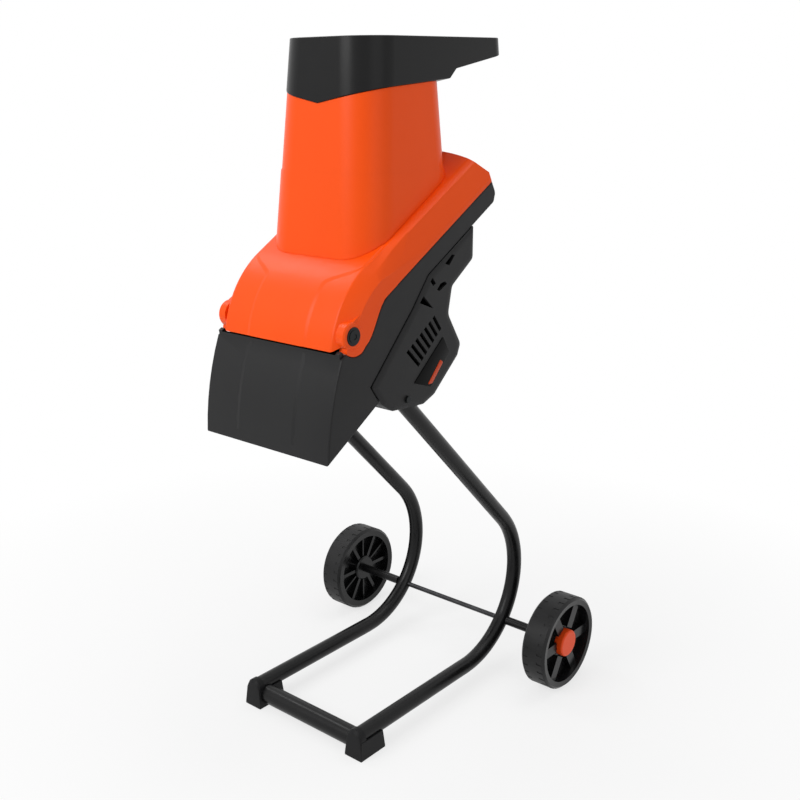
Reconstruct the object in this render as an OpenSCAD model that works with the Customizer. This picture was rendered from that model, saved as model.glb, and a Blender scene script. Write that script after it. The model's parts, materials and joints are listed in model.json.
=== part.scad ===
// Electric garden shredder on a bent-tube stand with two wheels.
// Millimetres, +Z up, front (discharge chute) towards -Y, standing on z = 0.
// The cutting body leans back by the tilt: v runs up the deck, w is square to it.

/* [Stand] */
// Wheel diameter
wheel_d = 150; // [140:1:160]
// Wheel width
wheel_w = 42; // [36:1:48]
// Distance between the outer faces of the two wheels
track = 472; // [450:1:520]
// Spokes of a wheel
spokes = 6; // [5:1:8]
// Tread notches round a wheel
notches = 30; // [24:1:36]
// Hub cap diameter
cap_d = 43; // [38:0.5:43.5]
// Axle rod diameter
axle_d = 8; // [7:0.5:10]
// Axle sleeve outer diameter
sleeve_d = 14; // [12:0.5:18]
// Outer diameter of the stand tube
tube_d = 24; // [21:0.5:25]
// Wall of the stand tube
tube_wall = 1.5; // [1:0.1:2.5]
// Distance between the centrelines of the two side tubes
tube_gap = 210; // [206:1:212]
// Height of the bottom rails above the ground, at their centreline
rail_z = 31; // [29:0.5:34]
// Bend radius of the side tubes at the centreline
bend_r = 132; // [126:1:138]
// Slope of the upper legs
leg_angle = 45; // [43:0.5:47]
// Straight length of the upper legs
leg_len = 398; // [380:1:430]
// Distance from the axle to the front face of the feet
foot_reach = 365; // [345:1:385]
// Length of a foot
foot_len = 52; // [46:1:60]
// Width of a foot at the ground
foot_w = 32; // [31:0.5:38]
// Height of a foot in front
foot_h = 44.5; // [44:0.5:48]
// Outer diameter of the front crossbar
bar_d = 29; // [26:0.5:30]

/* [Body] */
// Lean of the cutting deck
tilt = 30; // [29.5:0.5:30.5]
// Width of the top cover
cover_w = 237; // [236.5:0.5:239]
// Step in from the cover's sides to those of the lower housing
tray_inset = 0.5; // [0.3:0.1:1]
// Width of the motor housing
motor_w = 242; // [240:1:248]
// Wall of the moulded shells
wall = 3.5; // [3:0.1:4]
// Height of the cover above the parting plane
deck_h = 45; // [44:0.5:46]
// Depth of the lower tray below the parting plane
tray_h = 28.5; // [28:0.1:30]
// Radius of the curved apron in front
apron_r = 139.5; // [138:0.5:141]
// Reach of the cover below the hinge
ear_r = 29; // [28.5:0.5:29.5]
// Radius of the hinge bosses
boss_r = 18.5; // [16:0.5:20]
// Hinge bolt shank diameter
hinge_d = 10; // [8:0.5:11]
// Radius of the bowed rear in plan
rear_r = 310; // [280:1:360]
// Louvre slots in each side
louvres = 7; // [5:1:8]
// Outward bow of the chute front
chute_bow = 6; // [4:0.5:8]

// Half width of the raised panel down the apron and the chute front
panel_half = 49; // [40:1:60]
// Height of that panel above the shell round it
panel_rise = 0.9; // [0.5:0.1:1.5]

/* [Hopper] */
// Height of the rim above the ground, at the front
rim_z = 984; // [965:1:1000]
// Rise of the rim from the front to the rear
rim_rise = 6; // [2:0.5:10]
// Half width of the hopper at the rim
rim_half = 84; // [80:0.5:87]
// Half width of the column where it meets the deck
foot_half = 100; // [96:0.5:102]
// Front corner radius of the column
corner_r = 52; // [44:1:56]
// Rear corner radius of the column
heel_r = 40; // [32:1:46]
// Depth of the step round the column
step_in = 1.2; // [0.5:0.1:2]
// Length of the feed tray behind the column
tray_reach = 138; // [110:1:150]

/* [Cutter] */
// Cutter disc diameter
disc_d = 190; // [176:1:194]
// Cutter disc thickness
disc_t = 5; // [4:0.5:6]
// Blades on the disc
blade_count = 2; // [2:1:2]
// Blade length
blade_len = 68; // [60:1:70]
// Blade width
blade_w = 30; // [26:1:34]
// Blade thickness
blade_t = 4; // [3:0.5:4.5]
// Tooth module of the gear pair
gear_m = 1; // [1:0.05:1.05]
// Teeth of the drive gear
gear_teeth = 51; // [51:1:51]
// Teeth of the pinion
pinion_teeth = 17; // [17:1:17]
// Face width of the gears
gear_w = 10; // [8:0.5:10.5]

/* [Controls] */
// Lock knob radius at the hollows between its lobes
knob_r = 26.5; // [24:0.5:27]
// Lobes of the lock knob
knob_lobes = 6; // [5:1:8]
// Thread lift of the lock knob when it is undone
knob_lift = 9; // [6:0.5:9]
// Travel of the push buttons
button_travel = 3; // [2:0.5:4]

/* [Hidden] */
$fn = 64;

// Clearances: seats, running fits, sliding fits, and swept gaps
seat = 0.3;
run = 0.05;
slip = 0.3;
sweep = 0.5;
// Overshoot of cutting bodies, and a length longer than the whole object
eps = 1;
far = 1200;
black = [0.12, 0.12, 0.13];
orange = [1, 0.35, 0.12];
steel = [0.7, 0.71, 0.73];
brass = [0.8, 0.65, 0.3];

// Stand layout, first with the axle at y = 0 and then shifted to centre the whole object
wheel_r = wheel_d / 2;
tube_r = tube_d / 2;
bend_z = rail_z + bend_r;
bend_back = sqrt(bend_r * bend_r - (bend_z - wheel_r) * (bend_z - wheel_r));
leg_dir = [-cos(leg_angle), sin(leg_angle)];
leg_foot0 = [-bend_back + bend_r * sin(leg_angle), bend_z + bend_r * cos(leg_angle)];
leg_top0 = leg_foot0 + leg_len * leg_dir;
// Where the leg ends sit in the body, in deck coordinates
leg_seat = [-191, -115];
datum0 = leg_top0 - [leg_seat[0] * cos(tilt) - leg_seat[1] * sin(tilt),
    leg_seat[0] * sin(tilt) + leg_seat[1] * cos(tilt)];
chute_top = [-252, -16.5];
chute_lip = [-343, -118];
lip_reach = -(datum0[0] + chute_lip[0] * cos(tilt) - chute_lip[1] * sin(tilt));
axle_y = (lip_reach - wheel_r) / 2;
bend_y = axle_y - bend_back;
deck_y = datum0[0] + axle_y;
deck_z = datum0[1];
leg_foot = leg_foot0 + [axle_y, 0];
foot_y = axle_y - foot_reach;
bar_y = foot_y + 20;
bar_r = bar_d / 2;
bar_z = rail_z - 12.7;
tube_x = tube_gap / 2;
// The tube wall thins a little round the bend
bend_thin = 0.15;
tube_end_y = foot_y + 8;
wheel_x = track / 2 - wheel_w;
hub_r = 22;
spoke_w = 16;
notch_depth = 0.7;
hub_z0 = 4;
hub_z1 = wheel_w - 15;
clip_z = wheel_w - 21;
leg_screw_s = leg_len - 32;

// Body layout in deck coordinates
half_cover = cover_w / 2;
half_tray = half_cover - tray_inset;
half_motor = motor_w / 2;
hinge = [-220, -3.7];
apron_c = [-139, deck_h - apron_r];
apron_edge = -9;
lug_r = 9;
ear_in = half_cover - 14;
lug_in = ear_in - 16.5;
ear_out = half_cover;
rear_c = 148 - rear_r;
rear_corner = 16;
// The rear corner rounds cross the bow instead of just touching it
corner_bite = 0.25;
feed_half = 40;
feed_v = [-103, -33];
feed_t = [1.2, 5];
chamber_r = disc_d / 2 + 6;
tray_floor = tray_h - 4.5;
gear_a = gear_m * (gear_teeth + pinion_teeth) / 2;
spindle_v = -13;
motor_v = spindle_v - gear_a;
can_r = 45;
stator_r = can_r - 7;
can_end = -192;
case_top = -tray_h - 0.2;
lid_bottom = -41;
gear_top = -42;
base_bottom = -64;
knob_v = 130;
knob_w = 48;
knob_t = 12;
lock_r = 4;
panel_v = 54;
panel_y = deck_y + panel_v * cos(tilt) - case_top * sin(tilt);
panel_foot = [panel_v - (case_top + 68) * tan(tilt), -68];
switch_x = half_motor - 46;
panel_z = deck_z + 43 * sin(tilt) - 48.5 * cos(tilt);

function unit(a) = a / norm(a);
function turned(a) = ((a + 540) % 360) - 180;
// Arc points about a centre
function arc(c, r, a0, a1, n) = [for (k = [0:n])
    c + r * [cos(a0 + (a1 - a0) * k / n), sin(a0 + (a1 - a0) * k / n)]];
// One rounded corner between two neighbours
function corner(p, q0, q1, r, n) =
    let (a = unit(q0 - p))
    let (b = unit(q1 - p))
    let (half = acos(a * b) / 2)
    let (c = p + unit(a + b) * r / sin(half))
    let (s = p + a * r / tan(half) - c)
    let (e = p + b * r / tan(half) - c)
    let (t0 = atan2(s[1], s[0]))
    arc(c, r, t0, t0 + turned(atan2(e[1], e[0]) - t0), n);
function flat2(p) = [p[0], p[1]];
// Polygon points from corners given as [v, w, radius]
function rounded(cs, n = 4) =
    let (m = len(cs))
    [for (i = [0:m - 1]) each (cs[i][2] == 0 ? [flat2(cs[i])]
        : corner(flat2(cs[i]), flat2(cs[(i + m - 1) % m]), flat2(cs[(i + 1) % m]), cs[i][2], n))];
// Anticlockwise polygon drawn in by a distance
function inset(pts, d) =
    let (m = len(pts))
    [for (i = [0:m - 1])
        let (e0 = unit(pts[i] - pts[(i + m - 1) % m]))
        let (e1 = unit(pts[(i + 1) % m] - pts[i]))
        let (n0 = [-e0[1], e0[0]])
        let (n1 = [-e1[1], e1[0]])
        pts[i] + d * (n0 + n1) / (1 + n0 * n1)];
// Bowed front of the chute, from top to lip, drawn in by a depth
chute_n = unit([chute_lip[1] - chute_top[1], chute_top[0] - chute_lip[0]]);
function chute_front(t, d, bow = chute_bow) =
    chute_top + t * (chute_lip - chute_top) + (4 * bow * t * (1 - t) - d) * chute_n;
// Edge of the cover that runs from the hinge ear to the parting plane
function lobe(t, d) =
    let (a = -66 - 84 * t)
    hinge + (ear_r + d - (ear_r - 24.4) * max(0, (t - 0.25) / 0.75)) * [cos(a), sin(a)];
ear_foot = lobe(0, 0);
function ear_edge(t, d) =
    [ear_foot[0] + (-140 - ear_foot[0]) * t, ear_foot[1] * (1 - t * t * (3 - 2 * t)) - d];

module on_deck() translate([0, deck_y, deck_z]) rotate([tilt, 0, 0]) children();
module on_drive() on_deck() translate([0, spindle_v, 0]) children();
module on_motor() on_deck() translate([0, motor_v, 0]) children();
// Extrudes a side view across the machine, centred
module across(width) rotate([90, 0, 90]) linear_extrude(width, center = true) children();
// Extrudes a side view between two planes
module between(x0, x1) translate([x0, 0, 0]) rotate([90, 0, 90]) linear_extrude(x1 - x0) children();
module both() {
    children();
    mirror([1, 0, 0]) children();
}
module rod_x(r, x0, x1) translate([x0, 0, 0]) rotate([0, 90, 0]) cylinder(r = r, h = x1 - x0);
module ring(ro, ri, w0, w1) translate([0, 0, w0]) difference() {
    cylinder(r = ro, h = w1 - w0);
    translate([0, 0, -eps]) cylinder(r = ri, h = w1 - w0 + 2 * eps);
}
// Triangles of an anticlockwise polygon, clipped one corner at a time
function side(a, b, c) = (b[0] - a[0]) * (c[1] - a[1]) - (b[1] - a[1]) * (c[0] - a[0]);
function within(p, a, b, c) = side(a, b, p) >= 0 && side(b, c, p) >= 0 && side(c, a, p) >= 0;
function is_tip(pts, ids, i) =
    let (m = len(ids))
    let (h = ids[(i + m - 1) % m])
    let (j = ids[(i + 1) % m])
    side(pts[h], pts[ids[i]], pts[j]) > 0.001 && len([for (k = ids)
        if (k != h && k != ids[i] && k != j && within(pts[k], pts[h], pts[ids[i]], pts[j])) k]) == 0;
function first_tip(pts, ids, i = 0) =
    i >= len(ids) - 1 || is_tip(pts, ids, i) ? i : first_tip(pts, ids, i + 1);
function clipped(pts, ids) =
    let (m = len(ids))
    m == 3 ? [ids] :
    let (i = first_tip(pts, ids))
    concat([[ids[(i + m - 1) % m], ids[i], ids[(i + 1) % m]]],
        clipped(pts, [for (k = [0:m - 1]) if (k != i) ids[k]]));
// Solid skinned over side views of equal length, each given as [x, points] from left to right
module skin(levels) {
    n = len(levels[0][1]);
    m = len(levels);
    rings = [for (l = levels) each [for (p = l[1]) [l[0], p[0], p[1]]]];
    near = clipped(levels[0][1], [for (i = [0:n - 1]) i]);
    away = [for (t = clipped(levels[m - 1][1], [for (i = [0:n - 1]) i]))
        [(m - 1) * n + t[2], (m - 1) * n + t[1], (m - 1) * n + t[0]]];
    one = [for (j = [0:m - 2]) for (i = [0:n - 1])
        [j * n + i, (j + 1) * n + i, (j + 1) * n + (i + 1) % n]];
    two = [for (j = [0:m - 2]) for (i = [0:n - 1])
        [j * n + i, (j + 1) * n + (i + 1) % n, j * n + (i + 1) % n]];
    polyhedron(rings, concat(near, away, one, two));
}
function mirrored(levels) = concat([for (l = levels) [-l[0], l[1]]],
    [for (i = [len(levels) - 1:-1:0]) levels[i]]);
// Side view carried across the machine with its two outer edges rounded
module pillow(points, half, edge, steps = 3) trimmed(half)
    skin(mirrored(concat([[half + eps, inset(points, edge)]], [for (k = [0:steps])
        [half - edge * (1 - cos(90 * k / steps)), inset(points, edge * (1 - sin(90 * k / steps)))]])));
// Flat ends at the sides
module trimmed(half) intersection() {
    children();
    cube([2 * half, 2 * far, 2 * far], center = true);
}

// Stand

// Side tube along its centreline: bottom rail, bend and upper leg
module leg_path() {
    translate([0, bend_y, rail_z]) rotate([90, 0, 0])
        ring(tube_r, tube_r - tube_wall, 0, bend_y - tube_end_y);
    translate([0, bend_y, bend_z]) rotate([0, 90, 0]) rotate_extrude(angle = 180 - leg_angle)
        translate([bend_r, 0]) difference() {
            circle(r = tube_r - bend_thin);
            circle(r = tube_r - tube_wall + bend_thin);
        }
    along_leg(0) ring(tube_r, tube_r - tube_wall, 0, leg_len);
}
// Places children on the upper leg, a distance up from the bend
module along_leg(s) translate([0, leg_foot[0], leg_foot[1]]) rotate([90 - leg_angle, 0, 0])
    translate([0, 0, s]) children();
module at_axle() translate([0, axle_y, wheel_r]) children();

module leg_tube() color(black) translate([tube_x, 0, 0]) difference() {
    leg_path();
    at_axle() rod_x(axle_d / 2 + 2 * run, -tube_d, tube_d);
    along_leg(leg_screw_s) rod_x(2.7, 0, tube_d);
}
module right_leg_tube() leg_tube();
module left_leg_tube() mirror([1, 0, 0]) leg_tube();

module front_crossbar() color(black) translate([0, bar_y, bar_z]) difference() {
    rod_x(bar_r, -tube_x + tube_r + 1, tube_x - tube_r - 1);
    rod_x(bar_r - tube_wall, -tube_x, tube_x);
}

// Shoe that flares to the ground: an arched cap in front of the tube and a saddle under it
cap_len = 14;
cap_r = tube_r + 1.5;
saddle_h = rail_z - 3;
module foot() color(black) difference() {
    union() {
        hull() {
            translate([tube_x - foot_w / 2, foot_y, 0]) cube([foot_w, cap_len, 3]);
            translate([tube_x, foot_y + cap_len, foot_h - cap_r]) rotate([90, 0, 0])
                cylinder(r = cap_r, h = cap_len - 5, $fn = 32);
            translate([tube_x, foot_y + cap_len, foot_h - cap_r - 5]) rotate([90, 0, 0])
                cylinder(r = cap_r, h = cap_len - 1.5, $fn = 32);
        }
        hull() {
            translate([tube_x - foot_w / 2, foot_y, 0]) cube([foot_w, foot_len, 3]);
            translate([tube_x - foot_w / 2 + 1.5, foot_y + 3, saddle_h - 3])
                cube([foot_w - 3, foot_len - 6, 3]);
        }
    }
    translate([tube_x, tube_end_y - seat, rail_z]) rotate([-90, 0, 0])
        cylinder(r = tube_r + run, h = foot_len);
    translate([0, bar_y, bar_z]) rod_x(bar_r + run, 0, tube_x - tube_r - 0.7);
    translate([tube_x, foot_y + foot_len / 2, -eps]) cylinder(r = 9, h = eps + 2);
}
module right_foot() foot();
module left_foot() mirror([1, 0, 0]) foot();

module axle() color(steel) at_axle() rod_x(axle_d / 2, -wheel_x - clip_z - 4, wheel_x + clip_z + 4);
module axle_sleeves() color(black) at_axle() both() difference() {
    rod_x(sleeve_d / 2, tube_x + tube_r + seat, wheel_x + hub_z0 - seat);
    rod_x(axle_d / 2 + run, 0, wheel_x + wheel_w);
}
module axle_clips() color(steel) at_axle() both() translate([wheel_x + clip_z, 0, 0]) rotate([0, 90, 0])
    rotate_extrude() polygon([[axle_d / 2 + run, 0.6], [axle_d / 2 + 1.2, 0], [11, 0], [11, 1.2],
        [axle_d / 2 + 1.5, 1.2], [axle_d / 2 + run, 2.2]]);

// Moulded wheel about +Z, outer face up
module wheel_form() difference() {
    union() {
        rotate_extrude() polygon([[axle_d / 2 + 2 * run, hub_z0], [hub_r - 2, hub_z0], [hub_r, hub_z0 + 2],
            [hub_r, 17], [wheel_r - 15, 17], [wheel_r - 14, 1], [wheel_r - 4, 0], [wheel_r, 4],
            [wheel_r, wheel_w - 4], [wheel_r - 4, wheel_w], [wheel_r - 12, wheel_w - 1],
            [wheel_r - 14, 24], [hub_r + 1, 24], [hub_r, hub_z1], [14.5, hub_z1],
            [14.5, clip_z - 0.6], [axle_d / 2 + 2 * run, clip_z - 0.6]]);
        for (k = [0:spokes - 1]) rotate([0, 0, (k + 0.5) * 360 / spokes]) {
            translate([hub_r - 3, -spoke_w / 2, 19]) cube([8, spoke_w, 6]);
            translate([hub_r + 2, -spoke_w / 2, 20])
                cube([wheel_r - hub_r - 13.5, spoke_w, wheel_w - 28]);
            translate([hub_r - 3, -3, 7.5]) cube([wheel_r - hub_r - 10, 6, 11]);
        }
        for (k = [0:spokes - 1]) rotate([0, 0, k * 360 / spokes])
            translate([hub_r - 3, -1.5, 8.5]) cube([wheel_r - hub_r - 10, 3, 10]);
    }
    for (k = [0:notches - 1]) rotate([0, 0, k * 360 / notches]) {
        translate([wheel_r - notch_depth, -2, wheel_w - 13]) cube([5, 4, 14]);
        rotate([0, 0, 180 / notches]) translate([wheel_r - notch_depth, -2, -1]) cube([5, 4, 14]);
    }
}
module hub_cap_form() rotate_extrude() polygon(concat([[0, hub_z1 + 4], [12, hub_z1 + 4], [12, hub_z1 - 3],
    [14.4, hub_z1 - 3], [14.4, hub_z1 + 0.05], [cap_d / 2, hub_z1 + 0.05], [cap_d / 2, hub_z1 + 12]],
    arc([cap_d / 2 - 3, hub_z1 + 12], 3, 30, 90, 3), [[0, hub_z1 + 15]]));
module wheel_place() at_axle() translate([wheel_x, 0, 0]) rotate([0, 90, 0]) children();
module right_wheel() color(black) wheel_place() wheel_form();
module left_wheel() color(black) mirror([1, 0, 0]) wheel_place() wheel_form();
module right_hub_cap() color(orange) wheel_place() hub_cap_form();
module left_hub_cap() color(orange) mirror([1, 0, 0]) wheel_place() hub_cap_form();

// Lower body

// Plan of the tray and the cover: straight sides, bowed rear, rounded rear corners
module plan(half, draw) {
    x = half - rear_corner;
    v = rear_c + sqrt(pow(rear_r - draw - rear_corner + corner_bite, 2) - x * x);
    u = 60 * unit([x, v - rear_c]);
    intersection() {
        translate([0, rear_c]) circle(r = rear_r - draw, $fn = 200);
        union() {
            translate([-half, -400]) square([2 * half, 400 + v]);
            polygon([[-x, 0], [x, 0], [x, v], [x + u[0], v + u[1]], [-x - u[0], v + u[1]], [-x, v]]);
            for (s = [-1, 1]) translate([s * x, v]) circle(r = rear_corner);
        }
    }
}
// Cutting solid that rounds the rear off towards one end of its height
module rear_form(half, w0, w1, w2, draw) {
    translate([0, 0, min(w0, w1)]) linear_extrude(abs(w1 - w0)) plan(half, 0);
    intersection() {
        translate([0, 0, min(w1, w2)]) linear_extrude(abs(w2 - w1)) plan(half, 0);
        translate([0, rear_c, w1]) mirror([0, 0, w2 > w1 ? 0 : 1])
            cylinder(r1 = rear_r, r2 = rear_r - draw, h = abs(w2 - w1), $fn = 200);
    }
}
ramp_m = [-228.4, -84];
ramp_n = [-110, -48];
ramp_o = [-60, -tray_h];
chute_back = [-225.5, -113.5];
tray_outline = concat([chute_lip, chute_back, ramp_m, ramp_n, ramp_o, [150, -tray_h], [150, 0]],
    [for (k = [6:-1:1]) ear_edge(k / 6, sweep)],
    [for (k = [0:8]) lobe(k / 8, sweep)],
    [for (k = [0:5]) chute_front(k / 6, 0)]);
chute_space = concat([chute_front(1, wall) + [-9, -12], chute_back + [-wall, -12], chute_back + [-wall, 0],
    ramp_m + [-1, wall], ramp_n + [-1, wall], [-62, -tray_floor], [-62, 20], [-243, 20]],
    [for (k = [0:6]) chute_front(k / 6, wall)]);

module lower_housing() color(black) on_deck() difference() {
    union() {
        difference() {
            intersection() {
                pillow(tray_outline, half_tray, 2.5, 2);
                union() {
                    rear_form(half_tray + eps, 2, -14, -tray_h - 0.1, 14);
                    translate([-far / 2, -far, -far / 2]) cube([far, far - 40, far]);
                }
            }
            across(2 * (half_tray - wall)) polygon(chute_space);
            translate([0, spindle_v, -tray_floor]) cylinder(r = chamber_r, h = far);
            // Underside pockets beside and behind the chamber
            translate([0, 0, -tray_h - eps]) linear_extrude(tray_h - 4 + eps) difference() {
                intersection() {
                    plan(half_tray - wall, wall + 12);
                    translate([-far / 2, -58]) square([far, 300]);
                }
                translate([0, spindle_v]) circle(r = chamber_r + wall);
                translate([0, knob_v]) circle(r = 13);
            }
        }
        // Top of the chute front under the apron edge
        across(2 * half_tray - 8) polygon([[-249.5, apron_edge - 1], chute_front(0, 0),
            chute_front(0.08, 2), [-243.5, -16], [-243.5, apron_edge - 1]]);
        // Raised panel down the chute front
        across(2 * panel_half) polygon(concat([for (k = [0:8]) chute_front(k / 9, 0, chute_bow + panel_rise)],
            [for (k = [8:-1:0]) chute_front(k / 9, 1)]));
        // Hinge lugs, clear of the apron as it swings inwards
        both() {
            translate([0, hinge[0], hinge[1]]) rod_x(lug_r, lug_in, ear_in - seat);
            between(lug_in, ear_in - seat) polygon([hinge + lug_r * [cos(40), sin(40)],
                hinge + lug_r * [cos(220), sin(220)], [-193, -62], [-176, -62], [-176, -42]]);
            between(lug_in, half_tray - 1) polygon([[-196, -72], [-166, -63], [-166, -40], [-186, -40]]);
        }
    }
    // Room for the ears, the swinging apron edge, the hinge bolts and the spindle
    both() between(ear_in - 0.2, half_cover + 10)
        polygon(concat([for (k = [0:8]) lobe(k / 8, sweep)], arc(hinge, 24.9, -155, -172, 3),
            [[-262, 40], [-213, 40]]));
    difference() {
        across(2 * ear_in + 6) translate(hinge) circle(r = 31);
        across(2 * ear_in + 8) translate([-241, -300]) square([300, 600]);
    }
    both() translate([0, hinge[0], hinge[1]]) rod_x(hinge_d / 2 + run, lug_in - 8, half_cover + 20);
    translate([0, spindle_v, -tray_h - eps]) cylinder(r = 12.5, h = tray_h);
    translate([0, knob_v, -21]) cylinder(r = 8 + run, h = 40);
    motor_screw_places() translate([0, 0, -tray_h - eps]) cylinder(r = 2.3, h = tray_h);
}
module motor_screw_places() for (x = [-can_r - 2, can_r + 2], v = [motor_v - 12, motor_v + 12])
    translate([x, v, 0]) children();

motor_corners = [[panel_v, case_top, 0], [panel_foot[0], panel_foot[1], 10], [-26, -73, 10],
    [-52, -102, 14], [-50, -157, 10],
    [-64, -168, 8], [-133, -182, 14], [-158, -178, 8], [-213, -141, 12], [-224, -120, 10], [-228, -84.5, 4],
    [-110, -48.5, 0], [-60, case_top, 0]];
motor_turns = [for (i = [len(motor_corners) - 1:-1:0]) motor_corners[i]];
// Outline from rounded corners, drawn in by a distance with its radii kept concentric
function rolled(cs, d) =
    let (m = len(cs))
    let (q = inset([for (c = cs) flat2(c)], d))
    rounded([for (i = [0:m - 1])
        let (way = side(cs[(i + m - 1) % m], cs[i], cs[(i + 1) % m]) > 0 ? 1 : -1)
        [q[i][0], q[i][1], cs[i][2] == 0 ? 0 : max(0.5, cs[i][2] - way * d)]], 4);
motor_ccw = rolled(motor_turns, 0);
// The sides bulge softly: they fall by the drop over the width of the roll
motor_roll = 10;
motor_drop = 3;
module motor_form() trimmed(half_motor) skin(mirrored(concat(
    [[half_motor + eps, rolled(motor_turns, motor_roll)]], [for (k = [0:4])
        [half_motor - motor_drop * (1 - cos(22.5 * k)),
            rolled(motor_turns, motor_roll * (1 - sin(22.5 * k)))]])));
// Slot and recess outlines on the motor housing sides
function louvre_slot(k) =
    let (t = k / (louvres - 1))
    let (top = [-149 + 67 * t, -88 + 5 * t])
    let (bot = [-139.5 + 60.5 * t, -122 + 13 * t])
    [top - [3, 0], bot - [3, 0], bot + [2.5, 1], top + [2.5, 1]];

module motor_housing() color(black) difference() {
    union() {
        on_deck() difference() {
            union() {
                motor_form();
                translate([0, motor_v, can_end]) cylinder(r = can_r, h = -74 - can_end);
            }
            // Inside of the shell, open at the top under the tray
            across(motor_w - 2 * wall - 1) polygon(concat(inset(motor_ccw, wall)));
            across(motor_w - 2 * wall - 1)
                polygon([[-58, case_top - 8], [46, case_top - 8], [50, 0], [-58, 0]]);
            translate([0, motor_v, can_end + wall]) cylinder(r = can_r - wall, h = far);
        }
        on_deck() intersection() {
            union() {
                // Can wall, stator ribs, bearing boss and screw posts
                translate([0, motor_v, 0]) {
                    ring(can_r, can_r - wall, can_end, -74);
                    for (a = [0:90:270]) rotate([0, 0, a]) translate([stator_r + seat, -4, -140])
                        cube([can_r - stator_r - 2, 8, 53]);
                    ring(15, 11 + run, can_end + 1, -176);
                }
                motor_screw_places() translate([0, 0, -78]) cylinder(r = 6.5, h = 78 + case_top);
            }
            union() {
                across(motor_w - 2) polygon(motor_ccw);
                translate([0, motor_v, can_end]) cylinder(r = can_r, h = -74 - can_end);
            }
        }
        // Leg sockets
        intersection() {
            both() translate([tube_x, 0, 0]) along_leg(leg_len - 62) cylinder(r = tube_r + 3.6, h = 68);
            on_deck() across(motor_w - 1) polygon(motor_ccw);
        }
    }
    both() translate([tube_x, 0, 0]) along_leg(leg_len - 120) cylinder(r = tube_r + run, h = 120 + seat);
    both() translate([tube_x, 0, 0]) along_leg(leg_screw_s) rod_x(2.7, 0, 40);
    on_deck() {
        both() for (k = [0:louvres - 1])
            between(half_motor - wall - 2, half_motor + 5) polygon(louvre_slot(k));
        // Styling openings in the sides
        both() between(half_motor - wall - 2, half_motor + 5) {
            polygon([[-25.5, -34.5], [-19.5, -42], [-2.5, -37], [-6.5, -33]]);
            polygon([[-63.5, -36.5], [-57, -34.5], [-55.5, -45.5], [-62, -45]]);
            polygon([[-57.5, -54.5], [-55, -59.5], [-36.5, -61], [-37.5, -55.5], [-47, -52]]);
            polygon([[-96, -48], [-85, -44.5], [-77, -72]]);
        }
        translate([0, motor_v, 0]) for (a = [0:30:330]) rotate([0, 0, a]) translate([20, -2, can_end - eps])
            cube([26, 4, wall + 2 * eps]);
        motor_screw_places() translate([0, 0, -46]) cylinder(r = 2 + run, h = 60);
    }
    // Switch and inlet windows in the upright rear panel
    translate([switch_x - 33, panel_y - 20, panel_z - 13]) cube([66, 60, 26]);
    translate([-switch_x - 21, panel_y - 20, panel_z - 13]) cube([42, 60, 26]);
}
module motor_screws() color(steel) on_deck() motor_screw_places() {
    translate([0, 0, -tray_floor]) cylinder(r = 4.5, h = 2.4);
    translate([0, 0, -44]) cylinder(r = 2, h = 44 - tray_floor + 0.1);
}
module leg_screws() color(steel) both() translate([tube_x, 0, 0]) along_leg(leg_screw_s) {
    rod_x(2.4, 6, half_motor - tube_x + 1);
    rod_x(5, half_motor - tube_x + 0.05, half_motor - tube_x + 3);
}
module hinge_bolts() color(black) on_deck() both() translate([0, hinge[0], hinge[1]]) {
    rod_x(hinge_d / 2, lug_in, ear_out - 5);
    rod_x(12, ear_out - 6, ear_out + 1);
}
module lock_insert() color(brass) on_deck() translate([0, knob_v, 0]) ring(8, lock_r + 0.9, -20.7, -1);
module safety_switch() color(black) on_deck() translate([18, 109.5, -21]) cube([22, 9, 17]);

// Controls on the upright rear panel

module switch_box() color(black) translate([switch_x, panel_y, panel_z]) difference() {
    union() {
        translate([-37, 0.05, -17]) cube([74, 4, 34]);
        translate([-32.6, -16, -12.6]) cube([65.2, 17, 25.2]);
    }
    translate([-30 - slip, -14.5, -11 - slip]) cube([18 + 2 * slip, 30, 22 + 2 * slip]);
    translate([-8 - slip, -14.5, -11 - slip]) cube([18 + 2 * slip, 30, 22 + 2 * slip]);
    translate([22, 10, 0]) rotate([90, 0, 0]) cylinder(r = 6 + slip, h = 24.5);
}
module push_button(x) translate([switch_x + x, panel_y, panel_z]) {
    translate([0, -10, -11]) cube([18, 10 + 4 + button_travel + 1, 22]);
}
module stop_button() color([0.8, 0.1, 0.1]) push_button(-30);
module start_button() color([0.1, 0.6, 0.2]) push_button(-8);
module reset_button() color(black) translate([switch_x + 22, panel_y + 4 + button_travel + 1, panel_z])
    rotate([90, 0, 0]) cylinder(r = 6, h = 14 + button_travel + 1);

module power_inlet() color(black) translate([-switch_x, panel_y, panel_z]) difference() {
    union() {
        translate([-27, 0.05, -17]) cube([54, 14, 34]);
        translate([-20.6, -16, -12.6]) cube([41.2, 17, 25.2]);
    }
    translate([-17, -12.5, -9.5]) cube([34, 60, 19]);
    for (x = [-7, 7]) translate([x, -30, 0]) rotate([-90, 0, 0]) cylinder(r = 2.4 + run, h = 30);
}
module inlet_pins() color(brass) translate([-switch_x, panel_y, panel_z])
    for (x = [-7, 7]) translate([x, -24, 0]) rotate([-90, 0, 0]) cylinder(r = 2.4, h = 26);

// Drive

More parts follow.
